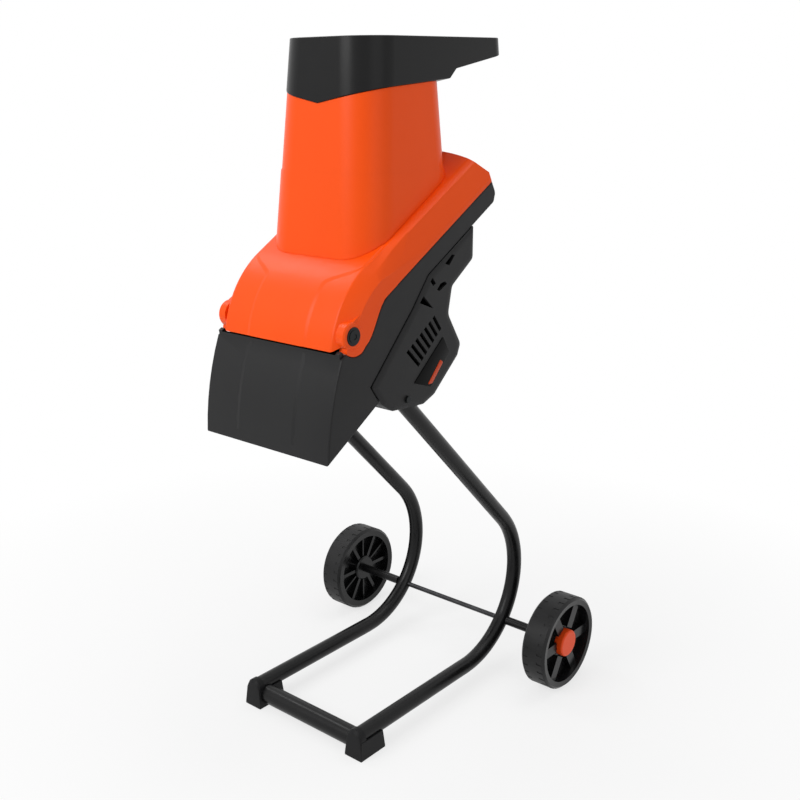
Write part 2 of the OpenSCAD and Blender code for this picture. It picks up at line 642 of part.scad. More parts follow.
module case_plan(r0, r1) {
    circle(r = r0);
    translate([0, -gear_a]) circle(r = r1);
    polygon([[-r0 * 0.97, -r0 * 0.24], [-r1 * 0.97, -gear_a - r1 * 0.24], [r1 * 0.97, -gear_a - r1 * 0.24],
        [r0 * 0.97, -r0 * 0.24]]);
}
case_r0 = gear_m * gear_teeth / 2 + 3;
case_r1 = gear_m * pinion_teeth / 2 + 4;
module gear_case_lid() color([0.75, 0.76, 0.78]) on_drive() difference() {
    translate([0, 0, lid_bottom]) linear_extrude(case_top - 0.05 - lid_bottom)
        case_plan(case_r0 + 3, case_r1 + 3);
    translate([0, 0, lid_bottom - eps]) cylinder(r = 11, h = 40);
    translate([0, 0, -39.9 - 0.05]) cylinder(r = 17.5 + run, h = 40);
}
module gear_case_base() color([0.75, 0.76, 0.78]) on_drive() difference() {
    translate([0, 0, base_bottom]) linear_extrude(lid_bottom - 0.05 - base_bottom)
        case_plan(case_r0 + 3, case_r1 + 3);
    translate([0, 0, -54]) linear_extrude(20) case_plan(case_r0, case_r1);
    translate([0, 0, -62.5]) cylinder(r = 13 + run, h = 20);
    translate([0, 0, base_bottom - eps]) cylinder(r = 8, h = 20);
    translate([0, -gear_a, -62.5]) cylinder(r = 11 + run, h = 20);
    translate([0, -gear_a, base_bottom - eps]) cylinder(r = 7, h = 20);
}
// Shielded ball bearing about the origin
module bearing(ro, ri, b) rotate_extrude() polygon([[ri, 0], [ri + 2, 0], [ri + 2, 0.7], [ro - 2, 0.7],
    [ro - 2, 0], [ro, 0], [ro, b], [ro - 2, b], [ro - 2, b - 0.7], [ri + 2, b - 0.7], [ri + 2, b], [ri, b]]);
module spindle_bearing_upper() color(steel) on_drive() translate([0, 0, -39.9]) bearing(17.5, 7.5 + run, 11);
module spindle_bearing_lower() color(steel) on_drive() translate([0, 0, -62.4]) bearing(13, 5 + run, 8);
module armature_bearing_upper() color(steel) on_motor() translate([0, 0, -62.4]) bearing(11, 4 + run, 7);
module armature_bearing_lower() color(steel) on_motor() translate([0, 0, -186]) bearing(11, 4 + run, 7);

// Involute gear outline with a little backlash
function involute(rb, r) = tan(acos(rb / r)) * 180 / PI - acos(rb / r);
function tooth(z, m, c) =
    let (rp = m * z / 2)
    let (rb = rp * cos(20))
    let (ra = rp + m)
    let (rr = rp - 1.25 * m)
    let (r0 = max(rb, rr))
    let (h = 90 / z - 0.12 * 180 / PI / rp)
    let (radii = [r0, rp - 0.2 * m, rp + 0.45 * m, ra])
    let (offs = [for (r = radii) h + involute(rb, rp) - involute(rb, r)])
    concat([rr * [cos(c - offs[0]), sin(c - offs[0])]],
        [for (k = [(rb > rr ? 0 : 1):3]) radii[k] * [cos(c - offs[k]), sin(c - offs[k])]],
        [for (k = [3:-1:(rb > rr ? 0 : 1)]) radii[k] * [cos(c + offs[k]), sin(c + offs[k])]],
        [rr * [cos(c + offs[0]), sin(c + offs[0])]]);
function gear_points(z, m, c0) = [for (k = [0:z - 1]) each tooth(z, m, c0 + k * 360 / z)];
module drive_gear() color(steel) on_drive() translate([0, 0, gear_top - gear_w]) difference() {
    linear_extrude(gear_w) polygon(gear_points(gear_teeth, gear_m, -90));
    translate([0, 0, -eps]) cylinder(r = 7 + 0.01, h = 20);
}
module pinion() color(steel) on_motor() translate([0, 0, gear_top - gear_w]) difference() {
    linear_extrude(gear_w) polygon(gear_points(pinion_teeth, gear_m, 90 + 180 / pinion_teeth));
    translate([0, 0, -eps]) cylinder(r = 4 + 0.01, h = 20);
}
module spindle() color(steel) on_drive() difference() {
    rotate_extrude() polygon([[0, -64], [5, -64], [5, gear_top - gear_w - 1], [7, gear_top - gear_w - 1],
        [7, -40.5], [7.5, -40.5], [7.5, -27.5], [10, -27.5], [10, -21], [8, -21], [8, -8.5], [0, -8.5]]);
    translate([0, 0, -28]) cylinder(r = 4 + run, h = 40);
}
module armature_shaft() color(steel) on_motor() rotate_extrude()
    polygon([[0, -187], [4, -187], [4, -174], [6, -174], [6, -65], [4, -65], [4, gear_top + 0.5],
        [0, gear_top + 0.5]]);
module armature_core() color([0.45, 0.45, 0.47]) on_motor() difference() {
    ring(21, 6.01, -141, -86);
    for (a = [0:30:330]) rotate([0, 0, a]) translate([14, -1.5, -150]) cube([10, 3, 80]);
}
module commutator() color([0.72, 0.45, 0.3]) on_motor() difference() {
    ring(14, 6.01, -170, -150);
    for (a = [0:15:345]) rotate([0, 0, a]) translate([13, -0.3, -168]) cube([2, 0.6, 17]);
}
module cooling_fan() color([0.2, 0.2, 0.22]) on_motor() difference() {
    union() {
        ring(can_r - wall - 4, 6.01, -70, -68);
        ring(10, 6.01, -80, -68);
        for (a = [0:30:330]) rotate([0, 0, a]) translate([14, -1, -79]) cube([can_r - wall - 20, 2, 10]);
    }
}
module stator() color([0.5, 0.5, 0.52]) on_motor() difference() {
    translate([0, 0, -139]) cylinder(r = stator_r, h = 51);
    translate([0, 0, -150]) cylinder(r = 22, h = 80);
    for (s = [-1, 1]) for (x = [-22, 22]) translate([x - 4, s * 22 - 4, -150]) cube([8, 8, 80]);
}
module field_coils() color([0.72, 0.42, 0.25]) on_motor()
    for (a = [30, 210], w = [-87.9 + 3, -139.1 - 3]) rotate([0, 0, a]) translate([0, 0, w - 3])
        rotate_extrude(angle = 120) translate([25, 0]) square([9, 6]);
module brush_holders() color(brass) on_motor() both() translate([16, 0, -160]) difference() {
    translate([0, -6, -7]) cube([can_r - wall - 16.6, 12, 14]);
    translate([-eps, -4 - run, -5 - run]) cube([25 + eps, 8 + 2 * run, 10 + 2 * run]);
}
module carbon_brushes() color(black) on_motor() both() translate([14.3, -4, -165]) cube([20, 8, 10]);

// Cutter

module cutter_disc() color([0.55, 0.56, 0.58]) on_drive() difference() {
    union() {
        translate([0, 0, -8 - disc_t]) cylinder(r = disc_d / 2, h = disc_t);
        translate([0, 0, -20.9]) cylinder(r = 20, h = 10);
        for (a = [45, 225]) rotate([0, 0, a]) translate([18, -2, -20]) cube([disc_d / 2 - 22, 4, 9]);
    }
    translate([0, 0, -30]) cylinder(r = 8 + 0.01, h = 40);
    blade_places() translate([24, blade_w / 2 - 4, -30]) cube([blade_len - 6, 13, 40]);
    blade_screw_places() translate([0, 0, -30]) cylinder(r = 3 + run, h = 40);
}
module blade_places() for (k = [0:blade_count - 1]) rotate([0, 0, k * 360 / blade_count]) children();
module blade_screw_places() blade_places() for (x = [36, 72]) translate([x, -4, 0]) children();
// Slotted blades with a ground cutting edge
module blades() color(steel) on_drive() difference() {
    blade_places() between(24, 24 + blade_len) polygon([[-blade_w / 2, -8 + 0.02],
        [blade_w / 2 - 7, -8 + 0.02], [blade_w / 2, -8 + blade_t - 0.6], [blade_w / 2, -8 + blade_t],
        [-blade_w / 2, -8 + blade_t]]);
    blade_screw_places() translate([0, 0, -30]) cylinder(r = 3 + run, h = 40);
}
module blade_screws() color(steel) on_drive() blade_screw_places() difference() {
    union() {
        translate([0, 0, -8 - disc_t - 2]) cylinder(r = 3, h = disc_t + blade_t + 2.5);
        translate([0, 0, -8 + blade_t + 0.02]) cylinder(r = 5.5, h = 2.4);
    }
    translate([0, 0, -8 + blade_t + 1.2]) cylinder(r = 2.4, h = 4, $fn = 6);
}
module disc_bolt() color(steel) on_drive() {
    translate([0, 0, -8 + 0.02]) cylinder(r = 14, h = 2);
    translate([0, 0, -7]) cylinder(r = 8, h = 5.5, $fn = 6);
    translate([0, 0, -25]) cylinder(r = 4, h = 19);
}

// Tipping top

// Side views of the cover: over the middle, along the crease, and at the sides
function cover_view(draw, rear_w, mid_w) =
    let (r = apron_r - draw)
    let (a = asin((apron_edge - apron_c[1]) / r))
    let (v = apron_c[0] - r * cos(a))
    concat([[v + 9, apron_edge], [v + 13, seat], [160, seat], [160, rear_w], [-60, rear_w], [-100, mid_w]],
        arc(apron_c, r, 90, 180 - a, 14));
cover_levels = mirrored([
    [half_cover + eps, cover_view(20, 6, 15)],
    [half_cover, cover_view(20, 6, 15)],
    [half_cover - 1.5, cover_view(18, 9, 17.5)],
    [half_cover - 8, cover_view(10.5, deck_h - 5, deck_h - 7)],
    [half_cover - 10, cover_view(9, deck_h - 3, deck_h - 5)],
    [half_cover - 17.5, cover_view(1, deck_h - 0.4, deck_h - 0.5)],
    [half_cover - 21, cover_view(0, deck_h, deck_h)]]);
// Cross-section of the space above the feed plate
rear_section = [[-half_cover + wall + 2, feed_t[1]], [half_cover - wall - 2, feed_t[1]],
    [half_cover - wall - 11, 36], [half_cover - 19, deck_h - wall], [-half_cover + 19, deck_h - wall],
    [-half_cover + wall + 11, 36]];
function front_space(draw, top) = concat([[-125, -40], [-125, 3], [-146, deck_h - top]],
    arc(apron_c, apron_r - draw, 96, 155, 12), [[-256, -60]]);

// Raised panel that runs up the apron and spreads to the foot of the column
apron_flare = [-173, -146];
flare_half = half_cover - 22.5;
module apron_panel(grow) intersection() {
    translate([0, 0, apron_edge + 0.5]) linear_extrude(deck_h + 40) polygon([[-panel_half, -300],
        [panel_half, -300], [panel_half, apron_flare[0]], [flare_half, apron_flare[1]], [flare_half, -95],
        [-flare_half, -95], [-flare_half, apron_flare[1]], [-panel_half, apron_flare[0]]]);
    across(far) difference() {
        union() {
            translate(apron_c) circle(r = apron_r + panel_rise + grow, $fn = 200);
            translate([apron_c[0], deck_h - 30]) square([60, 30 + panel_rise + grow]);
        }
        translate(apron_c) circle(r = apron_r - 1, $fn = 200);
        translate([apron_c[0], deck_h - 31]) square([61, 30]);
    }
}
module top_cover() color(orange) difference() {
    union() {
        on_deck() apron_panel(0);
        on_deck() difference() {
            intersection() {
                trimmed(half_cover) skin(cover_levels);
                union() {
                    rear_form(half_cover + eps, -20, 11, deck_h + 1, 22);
                    translate([-far / 2, -far, -far / 2]) cube([far, far - 40, far]);
                }
            }
            across(2 * (half_cover - 20.5)) polygon(front_space(wall, wall));
            across(2 * ear_in) polygon(front_space(8, 7));
            across(2 * (half_cover - wall)) polygon(front_space(24, 26));
            // Space above the feed plate
            intersection() {
                across(far) polygon([[-117.5, feed_t[1]], [160, feed_t[1]], [160, deck_h - wall],
                    [-138, deck_h - wall]]);
                translate([0, 200, 0]) rotate([90, 0, 0]) linear_extrude(500) polygon(rear_section);
                union() {
                    rear_form(half_cover - wall, feed_t[1] - 1, 11, deck_h, 22);
                    translate([-far / 2, -far, -far / 2]) cube([far, far - 40, far]);
                }
                translate([0, -wall, -far / 2]) linear_extrude(far) plan(half_cover - wall, 0);
            }
            translate([-far / 2, -118, -20]) cube([far, 118 + 118, 20 + feed_t[0]]);
            translate([-feed_half, feed_v[0], 0]) cube([2 * feed_half, feed_v[1] - feed_v[0], 8]);
        }
        on_deck() {
            // Outer wall of the parting edge round the tray
            difference() {
                intersection() {
                    translate([0, 0, seat]) linear_extrude(feed_t[1] - seat) plan(half_cover - 0.5, 0.5);
                    translate([-far / 2, -119, 0]) cube([far, far, far]);
                }
                translate([0, -wall, -eps]) linear_extrude(far) plan(half_cover - wall, wall);
            }
            both() {
                translate([0, hinge[0], hinge[1]]) {
                    rod_x(boss_r, ear_in, ear_out - 2);
                    translate([ear_out - 2, 0, 0]) rotate([0, 90, 0])
                        cylinder(r1 = boss_r, r2 = boss_r - 2, h = 2);
                }
                between(ear_in, half_cover - 1) polygon(concat([for (k = [8:-1:0]) lobe(k / 8, 0)],
                    [for (k = [1:8]) ear_edge(k / 8, 0)], [[-140, 12], [-216, 12]]));
            }
            // Pad for the counter blade and boss for the lock screw
            difference() {
                translate([feed_half, feed_v[0] - 6, feed_t[0]]) cube([20, feed_v[1] - feed_v[0] + 12, 8]);
                translate([feed_half - eps, feed_v[0] - 2, 0])
                    cube([15 + eps, feed_v[1] - feed_v[0] + 4, 4.3]);
            }
            translate([0, knob_v, 7.5 + knob_lift]) cylinder(r = 13, h = 46 - 7.5 - knob_lift);
        }
    }
    on_deck() {
        both() translate([0, hinge[0], hinge[1]]) {
            rod_x(hinge_d / 2 + run, lug_in - 28, half_cover + 20);
            rod_x(12 + seat, ear_out - 6 - seat, half_cover + 20);
        }
        translate([0, knob_v, -20]) cylinder(r = lock_r + 0.6, h = 100);
        translate([feed_half - eps, feed_v[0] - 2, 0]) cube([15 + eps, feed_v[1] - feed_v[0] + 4, 4.3]);
        counter_screw_places() cylinder(r = 2 + run, h = 8);
    }
    // Way down from the column
    intersection() {
        translate([0, 0, deck_z - 200]) linear_extrude(400) column_plan(foot_half - 8);
        on_deck() translate([-far / 2, -far / 2, 20]) cube([far, far, 60]);
    }
}
module counter_screw_places() for (v = [feed_v[0] + 10, feed_v[1] - 10])
    translate([feed_half + 7, v, 0]) children();
module counter_blade() color(steel) on_deck() difference() {
    translate([feed_half, feed_v[0] - 1.7, feed_t[0]]) cube([14.7, feed_v[1] - feed_v[0] + 3.4, 3]);
    counter_screw_places() cylinder(r = 2 + run, h = 20);
}
module counter_blade_screws() color(steel) on_deck() counter_screw_places() {
    translate([0, 0, -0.8]) cylinder(r = 4, h = 2 - 0.02);
    cylinder(r = 2, h = 7);
}

// Column section at a height: half width, front and rear
col_z0 = deck_z - 32;
col_front = [-142, -118.5];
col_rear = [59, 40];
function col_t(z) = (z - col_z0) / (rim_z - col_z0);
function col_half(z) = foot_half + (rim_half - foot_half) * col_t(z);
function col_y0(z) = deck_y + col_front[0] + (col_front[1] - col_front[0]) * col_t(z);
function col_y1(z) = deck_y + col_rear[0] + (col_rear[1] - col_rear[0]) * col_t(z);
module column_plan(half) {
    y0 = deck_y + col_front[0] + 8;
    y1 = deck_y + col_rear[0] - 8;
    translate([-half + corner_r, y0]) square([2 * (half - corner_r), y1 - y0]);
    translate([-half, y0 + corner_r]) square([2 * half, y1 - y0 - 2 * corner_r]);
    for (x = [-1, 1], y = [y0 + corner_r, y1 - corner_r])
        translate([x * (half - corner_r), y]) circle(r = corner_r);
}
// Tapered tube of rounded section, drawn in by a depth, its rear run back by a length
module loft(z0, z1, draw, back = 0, back_r = heel_r) hull() for (z = [z0, z1], s = [-1, 1]) {
    translate([s * (col_half(z) - corner_r), col_y0(z) + corner_r, z])
        cylinder(r = corner_r - draw, h = 0.01, $fn = 48);
    translate([s * (col_half(z) - back_r), col_y1(z) + back - back_r, z])
        cylinder(r = back_r - draw, h = 0.01, $fn = 48);
}
// Everything above the seam of the rim, which dips to a shallow V in front
seam_z = rim_z - 82.5;
module above_seam(lift) translate([0, deck_y - 124, seam_z + lift]) rotate([5.2, 0, 0])
    intersection_for (s = [-1, 1]) rotate([0, s * 10.5, 0]) translate([-far, -far, 0]) cube(2 * far);

// Upright solid skinned over plan outlines, each given as [z, points] from the bottom up
module tower(levels) rotate([0, -90, 0])
    skin([for (l = levels) [l[0], [for (p = l[1]) [p[1], -p[0]]]]]);
function col_ring(z, draw) =
    let (x = [col_half(z) - corner_r, col_half(z) - heel_r])
    let (y = [col_y0(z) + corner_r, col_y1(z) - heel_r])
    concat(arc([x[0], y[0]], corner_r - draw, -90, 0, 12), arc([x[1], y[1]], heel_r - draw, 0, 90, 12),
        arc([-x[1], y[1]], heel_r - draw, 90, 180, 12), arc([-x[0], y[0]], corner_r - draw, 180, 270, 12));
// The column narrows by a small step part of the way up
step_z = col_z0 + 112;
module hopper_column() color(orange) difference() {
    tower([[col_z0 - 40, col_ring(col_z0 - 40, 0)], [step_z, col_ring(step_z, 0)],
        [step_z + 3, col_ring(step_z + 3, step_in)], [rim_z - 20, col_ring(rim_z - 20, step_in)]]);
    loft(col_z0 - 41, rim_z - 19, wall);
    on_deck() translate([-far / 2, -far / 2, deck_h + 0.05 - far]) cube([far, far, far]);
    on_deck() apron_panel(0.05);
    above_seam(0);
}
rim_under = [[deck_y + 45, rim_z - 52], [deck_y + 61, rim_z - 38], [deck_y + 190, rim_z - 14]];
rim_floor = [[deck_y + 36.5, rim_z - 46], [deck_y + 58, rim_z - 32], [deck_y + 190, rim_z - 9]];
rim_top = [[deck_y + 190, rim_z + rim_rise], [deck_y - 130, rim_z - 0.6]];
module hopper_rim() color(black) {
    difference() {
        intersection() {
            loft(col_z0 + 150, rim_z + 20, 0, tray_reach, 26);
            across(far) polygon(concat([[deck_y - 220, rim_z - 120], [deck_y + 45, rim_z - 120]],
                rim_under, rim_top, [[deck_y - 220, rim_z - 0.6]]));
            above_seam(0.05);
        }
        intersection() {
            loft(col_z0 + 149, rim_z + 21, wall, tray_reach, 26);
            across(far) polygon(concat([[deck_y - 220, rim_z - 130], [deck_y + 36.5, rim_z - 130]], rim_floor,
                [[deck_y + 190, rim_z + 30], [deck_y - 220, rim_z + 30]]));
        }
    }
    // Flange over the edge of the column, closed at its rear corners
    difference() {
        intersection() {
            loft(col_z0 + 150, rim_z + 20, 0.5, tray_reach, 26);
            across(far) polygon([[deck_y - 220, rim_z - 120], [deck_y + 44, rim_z - 120],
                [deck_y + 44, rim_z - 40], [deck_y - 220, rim_z - 40]]);
            above_seam(0.05);
        }
        above_seam(4);
        loft(col_z0 + 149, rim_z - 19, wall + 3);
    }
    // Spigot inside the column
    difference() {
        intersection() {
            union() {
                difference() {
                    loft(col_z0 + 150, rim_z - 20, wall + 0.4);
                    above_seam(0.05);
                }
                intersection() {
                    loft(col_z0 + 150, rim_z - 20, wall - 1);
                    above_seam(0.05);
                }
            }
            above_seam(-14);
        }
        loft(col_z0 + 149, rim_z - 19, wall + 3);
        above_seam(6);
    }
}

// Lock

module lock_knob() color(black) on_deck() translate([0, knob_v, 0]) difference() {
    union() {
        translate([0, 0, knob_w]) linear_extrude(knob_t) {
            circle(r = knob_r);
            for (k = [0:knob_lobes - 1]) rotate((k + 0.5) * 360 / knob_lobes)
                translate([knob_r - 4, 0]) circle(r = 8.5);
        }
        translate([0, 0, 46 + seat]) cylinder(r = 11, h = knob_w - 45);
        translate([0, 0, knob_w + knob_t - 1]) cylinder(r1 = 20, r2 = 17, h = 4);
    }
    cylinder(r = lock_r + 0.02, h = knob_w + 8);
}
module lock_screw() color(steel) on_deck() translate([0, knob_v, 0]) {
    translate([0, 0, -14]) cylinder(r = lock_r, h = knob_w + 14 + 7.9);
    translate([0, 0, -16]) cylinder(r1 = lock_r - 1.5, r2 = lock_r, h = 2);
}
module lock_washer() color(steel) on_deck() translate([0, knob_v, 0])
    ring(9, lock_r + run, feed_t[1] + seat, feed_t[1] + 1.9);

left_leg_tube();
right_leg_tube();
front_crossbar();
left_foot();
right_foot();
axle();
axle_sleeves();
axle_clips();
leg_screws();
left_wheel();
left_hub_cap();
right_wheel();
right_hub_cap();
lower_housing();
motor_housing();
motor_screws();
hinge_bolts();
lock_insert();
safety_switch();
switch_box();
power_inlet();
inlet_pins();
gear_case_lid();
gear_case_base();
spindle_bearing_upper();
spindle_bearing_lower();
armature_bearing_upper();
armature_bearing_lower();
spindle();
drive_gear();
armature_shaft();
pinion();
armature_core();
commutator();
cooling_fan();
stator();
field_coils();
brush_holders();
carbon_brushes();
cutter_disc();
blades();
blade_screws();
disc_bolt();
top_cover();
hopper_column();
hopper_rim();
counter_blade();
counter_blade_screws();
lock_knob();
lock_screw();
lock_washer();
start_button();
stop_button();
reset_button();
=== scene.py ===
"""Looks of an electric garden shredder on a wheeled tube stand.

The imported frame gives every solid, its place and its body. This script gives each solid its finish,
softens its moulded edges, adds the small fittings, and sets up the studio and the camera.
"""

import functools
import json
import logging
import math
from collections.abc import Sequence
from dataclasses import dataclass
from enum import Enum
from typing import ClassVar

import bmesh
import bpy
from mathutils import Matrix, Vector


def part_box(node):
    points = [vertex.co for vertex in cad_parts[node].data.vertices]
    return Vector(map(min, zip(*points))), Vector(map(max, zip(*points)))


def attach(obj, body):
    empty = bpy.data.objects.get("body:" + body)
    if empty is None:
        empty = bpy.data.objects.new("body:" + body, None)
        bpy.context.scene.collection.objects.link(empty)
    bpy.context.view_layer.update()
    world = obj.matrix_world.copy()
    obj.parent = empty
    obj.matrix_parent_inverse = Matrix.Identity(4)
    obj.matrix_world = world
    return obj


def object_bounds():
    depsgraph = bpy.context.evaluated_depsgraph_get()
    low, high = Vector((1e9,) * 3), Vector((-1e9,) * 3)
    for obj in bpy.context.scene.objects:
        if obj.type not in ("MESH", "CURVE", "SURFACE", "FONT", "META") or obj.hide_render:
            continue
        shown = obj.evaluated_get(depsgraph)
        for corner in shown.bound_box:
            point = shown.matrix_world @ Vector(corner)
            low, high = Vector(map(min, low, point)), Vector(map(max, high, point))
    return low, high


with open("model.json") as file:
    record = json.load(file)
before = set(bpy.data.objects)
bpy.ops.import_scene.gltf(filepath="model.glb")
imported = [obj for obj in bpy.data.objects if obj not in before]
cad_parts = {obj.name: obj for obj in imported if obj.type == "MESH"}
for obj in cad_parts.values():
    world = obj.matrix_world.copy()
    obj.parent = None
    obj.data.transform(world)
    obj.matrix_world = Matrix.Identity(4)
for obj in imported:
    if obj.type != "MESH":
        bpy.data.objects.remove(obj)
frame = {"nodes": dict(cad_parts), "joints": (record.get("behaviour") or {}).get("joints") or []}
CAD_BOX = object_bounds()
LOG = logging.getLogger("garden_shredder")

MM = 0.001
ACROSS = Vector((1, 0, 0))
SIDES = ((-1, "left"), (1, "right"))
WELD_GAP = 2e-6
FLAT_ANGLE = math.radians(0.3)
SHARP_ANGLE = math.radians(32)

Colour = tuple[float, float, float]
Point = tuple[float, float]


class Grain(Enum):
    """Fine relief of a surface, as cell size and depth in millimetres."""

    SPARK = (0.9, 0.03)
    SATIN = (1.4, 0.012)
    PEEL = (3.2, 0.02)
    TURNED = (0.4, 0.01)

    @property
    def scale(self) -> float:
        """Cells in a metre."""
        return 1 / (self.value[0] * MM)

    @property
    def depth(self) -> float:
        """Depth of the relief in metres."""
        return self.value[1] * MM


class Body(Enum):
    """Bodies of the machine that carry new pieces."""

    STAND = "stand"
    HOPPER = "hopper"


class Slot(Enum):
    """Material slots of the record, named on the side plates but not read here."""

    BLACK_SHELL = "shell_black"
    ORANGE_SHELL = "shell_orange"
    BOLT = "bolt_black"


class Graph:
    """A material whose nodes are added and joined one at a time."""

    RAMP_STOPS: ClassVar[Point] = (0.35, 0.65)

    def __init__(self, name: str) -> None:
        """Starts the material.

        Args:
            name: Name of the material.
        """
        self.material = bpy.data.materials.new(name)
        self.material.use_nodes = True
        self.nodes = self.material.node_tree.nodes
        self.links = self.material.node_tree.links
        self.shader = self.nodes["Principled BSDF"]
        self.place = self.add("ShaderNodeTexCoord").outputs["Object"]

    def add(self, kind: str, **values: object) -> bpy.types.Node:
        """Adds a node.

        Args:
            kind: Type name of the node.
            values: Input values by socket name, with spaces written as underscores.

        Returns:
            The new node.
        """
        made = self.nodes.new(kind)
        for name, value in values.items():
            made.inputs[name.replace("_", " ")].default_value = value
        return made

    def join(self, start: bpy.types.NodeSocket, end: bpy.types.NodeSocket) -> None:
        """Joins an output to an input."""
        self.links.new(start, end)

    def feed(self, socket: str, start: bpy.types.NodeSocket) -> None:
        """Joins an output to an input of the shader."""
        self.join(start, self.shader.inputs[socket])

    def settle(self, **values: object) -> None:
        """Sets constant values on the shader.

        Args:
            values: Input values by socket name, with spaces written as underscores.
        """
        for name, value in values.items():
            self.shader.inputs[name.replace("_", " ")].default_value = value

    def noise(self, scale: float, detail: float = 2.0, stretch: Colour | None = None) -> bpy.types.NodeSocket:
        """Adds a noise on the object's own coordinates.

        Args:
            scale: Cells in a metre.
            detail: Octaves of finer noise.
            stretch: Scale along each axis, where the noise is drawn out.

        Returns:
            The noise's value, from 0 to 1.
        """
        cloud = self.add("ShaderNodeTexNoise", Scale=scale, Detail=detail)
        place = self.place
        if stretch:
            mapping = self.add("ShaderNodeMapping", Scale=stretch)
            self.join(place, mapping.inputs["Vector"])
            place = mapping.outputs["Vector"]
        self.join(place, cloud.inputs["Vector"])
        return cloud.outputs["Fac"]

    def length(self, place: bpy.types.NodeSocket) -> bpy.types.NodeSocket:
        """Measures how far a point lies from the origin.

        Args:
            place: The point.

        Returns:
            Its distance.
        """
        reach = self.add("ShaderNodeVectorMath")
        reach.operation = "LENGTH"
        self.join(place, reach.inputs[0])
        return reach.outputs["Value"]

    def ramp(self, value: bpy.types.NodeSocket, low: Colour, high: Colour) -> bpy.types.NodeSocket:
        """Runs a value over two colours.

        Args:
            value: Value from 0 to 1.
            low: Colour at the low end.
            high: Colour at the high end.

        Returns:
            The colour.
        """
        band = self.add("ShaderNodeValToRGB")
        for stop, place, colour in zip(band.color_ramp.elements, self.RAMP_STOPS, (low, high)):
            stop.position = place
            stop.color = (*colour, 1)
        self.join(value, band.inputs["Fac"])
        return band.outputs["Color"]

    def spread(self, value: bpy.types.NodeSocket, low: float, high: float,
               start: float = 0.3, end: float = 0.7) -> bpy.types.NodeSocket:
        """Maps a value onto a range.

        Args:
            value: Value to map.
            low: Result at the start.
            high: Result at the end.
            start: Value that gives the low result.
            end: Value that gives the high result.

        Returns:
            The mapped value.
        """
        span = self.add("ShaderNodeMapRange", From_Min=start, From_Max=end, To_Min=low, To_Max=high)
        self.join(value, span.inputs["Value"])
        return span.outputs["Result"]

    def relief(self, height: bpy.types.NodeSocket, depth: float) -> None:
        """Raises the surface by a height.

        Args:
            height: Height from 0 to 1.
            depth: Depth in metres at a height of 1.
        """
        bump = self.add("ShaderNodeBump", Strength=1.0, Distance=depth)
        self.join(height, bump.inputs["Height"])
        self.feed("Normal", bump.outputs["Normal"])


@dataclass(frozen=True)
class Plastic:
    """Moulded plastic with faint flow marks and a fine grain."""

    FLOW_SCALE: ClassVar[float] = 7.0
    FLOW_STRETCH: ClassVar[Colour] = (1.0, 1.0, 0.45)
    GLOSS_SCALE: ClassVar[float] = 60.0
    GLOSS_BELOW: ClassVar[float] = 0.015
    GLOSS_ABOVE: ClassVar[float] = 0.02

    name: str
    colour: Colour
    flow: Colour
    roughness: float
    grain: Grain
    specular: float = 0.5

    def material(self) -> bpy.types.Material:
        """Returns the finished material."""
        graph = Graph(self.name)
        graph.settle(Specular_IOR_Level=self.specular)
        marks = graph.noise(self.FLOW_SCALE, 3.0, self.FLOW_STRETCH)
        graph.feed("Base Color", graph.ramp(marks, self.flow, self.colour))
        gloss = graph.noise(self.GLOSS_SCALE)
        graph.feed("Roughness", graph.spread(gloss, self.roughness - self.GLOSS_BELOW,
                                             self.roughness + self.GLOSS_ABOVE))
        graph.relief(graph.noise(self.grain.scale, 1.0), self.grain.depth)
        return graph.material


@dataclass(frozen=True)
class Enamel:
    """Stoved enamel on tube, with the slow ripple of orange peel."""

    FILM_SCALE: ClassVar[float] = 14.0
    GLOSS_SCALE: ClassVar[float] = 35.0
    GLOSS_BELOW: ClassVar[float] = 0.05
    GLOSS_ABOVE: ClassVar[float] = 0.08

    name: str
    colour: Colour
    dust: Colour
    roughness: float
    specular: float = 0.18
    coat: float = 0.08
    coat_roughness: float = 0.12

    def material(self) -> bpy.types.Material:
        """Returns the finished material."""
        graph = Graph(self.name)
        graph.settle(Specular_IOR_Level=self.specular, Coat_Weight=self.coat, Coat_Roughness=self.coat_roughness)
        film = graph.noise(self.FILM_SCALE, 4.0)
        graph.feed("Base Color", graph.ramp(film, self.dust, self.colour))
        gloss = graph.noise(self.GLOSS_SCALE, 3.0)
        graph.feed("Roughness", graph.spread(gloss, self.roughness - self.GLOSS_BELOW,
                                             self.roughness + self.GLOSS_ABOVE))
        graph.relief(graph.noise(Grain.PEEL.scale, 1.0), Grain.PEEL.depth)
        return graph.material


@dataclass(frozen=True)
class Tread:
    """Wheel plastic, polished on the spokes and scuffed dull on the running face."""

    SCUFF_SCALE: ClassVar[float] = 90.0
    SCUFF_STRETCH: ClassVar[Colour] = (0.2, 1.0, 1.0)
    FACE_START: ClassVar[float] = 0.95
    FACE_END: ClassVar[float] = 0.985

    name: str
    colour: Colour
    scuff: Colour
    polish: float
    dull: float
    specular: float = 0.28

    def material(self) -> bpy.types.Material:
        """Returns the finished material."""
        low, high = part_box("right_wheel")
        centre = (low + high) / 2
        radius = (high.z - low.z) / 2
        graph = Graph(self.name)
        graph.settle(Specular_IOR_Level=self.specular)
        spin = graph.add("ShaderNodeMapping", Location=(0, -centre.y, -centre.z), Scale=(0, 1, 1))
        graph.join(graph.place, spin.inputs["Vector"])
        reach = graph.length(spin.outputs["Vector"])
        graph.feed("Roughness", graph.spread(reach, self.polish, self.dull,
                                             radius * self.FACE_START, radius * self.FACE_END))
        scuffs = graph.noise(self.SCUFF_SCALE, 4.0, self.SCUFF_STRETCH)
        graph.feed("Base Color", graph.ramp(scuffs, self.colour, self.scuff))
        graph.relief(graph.noise(Grain.SPARK.scale, 1.0), Grain.SPARK.depth)
        return graph.material


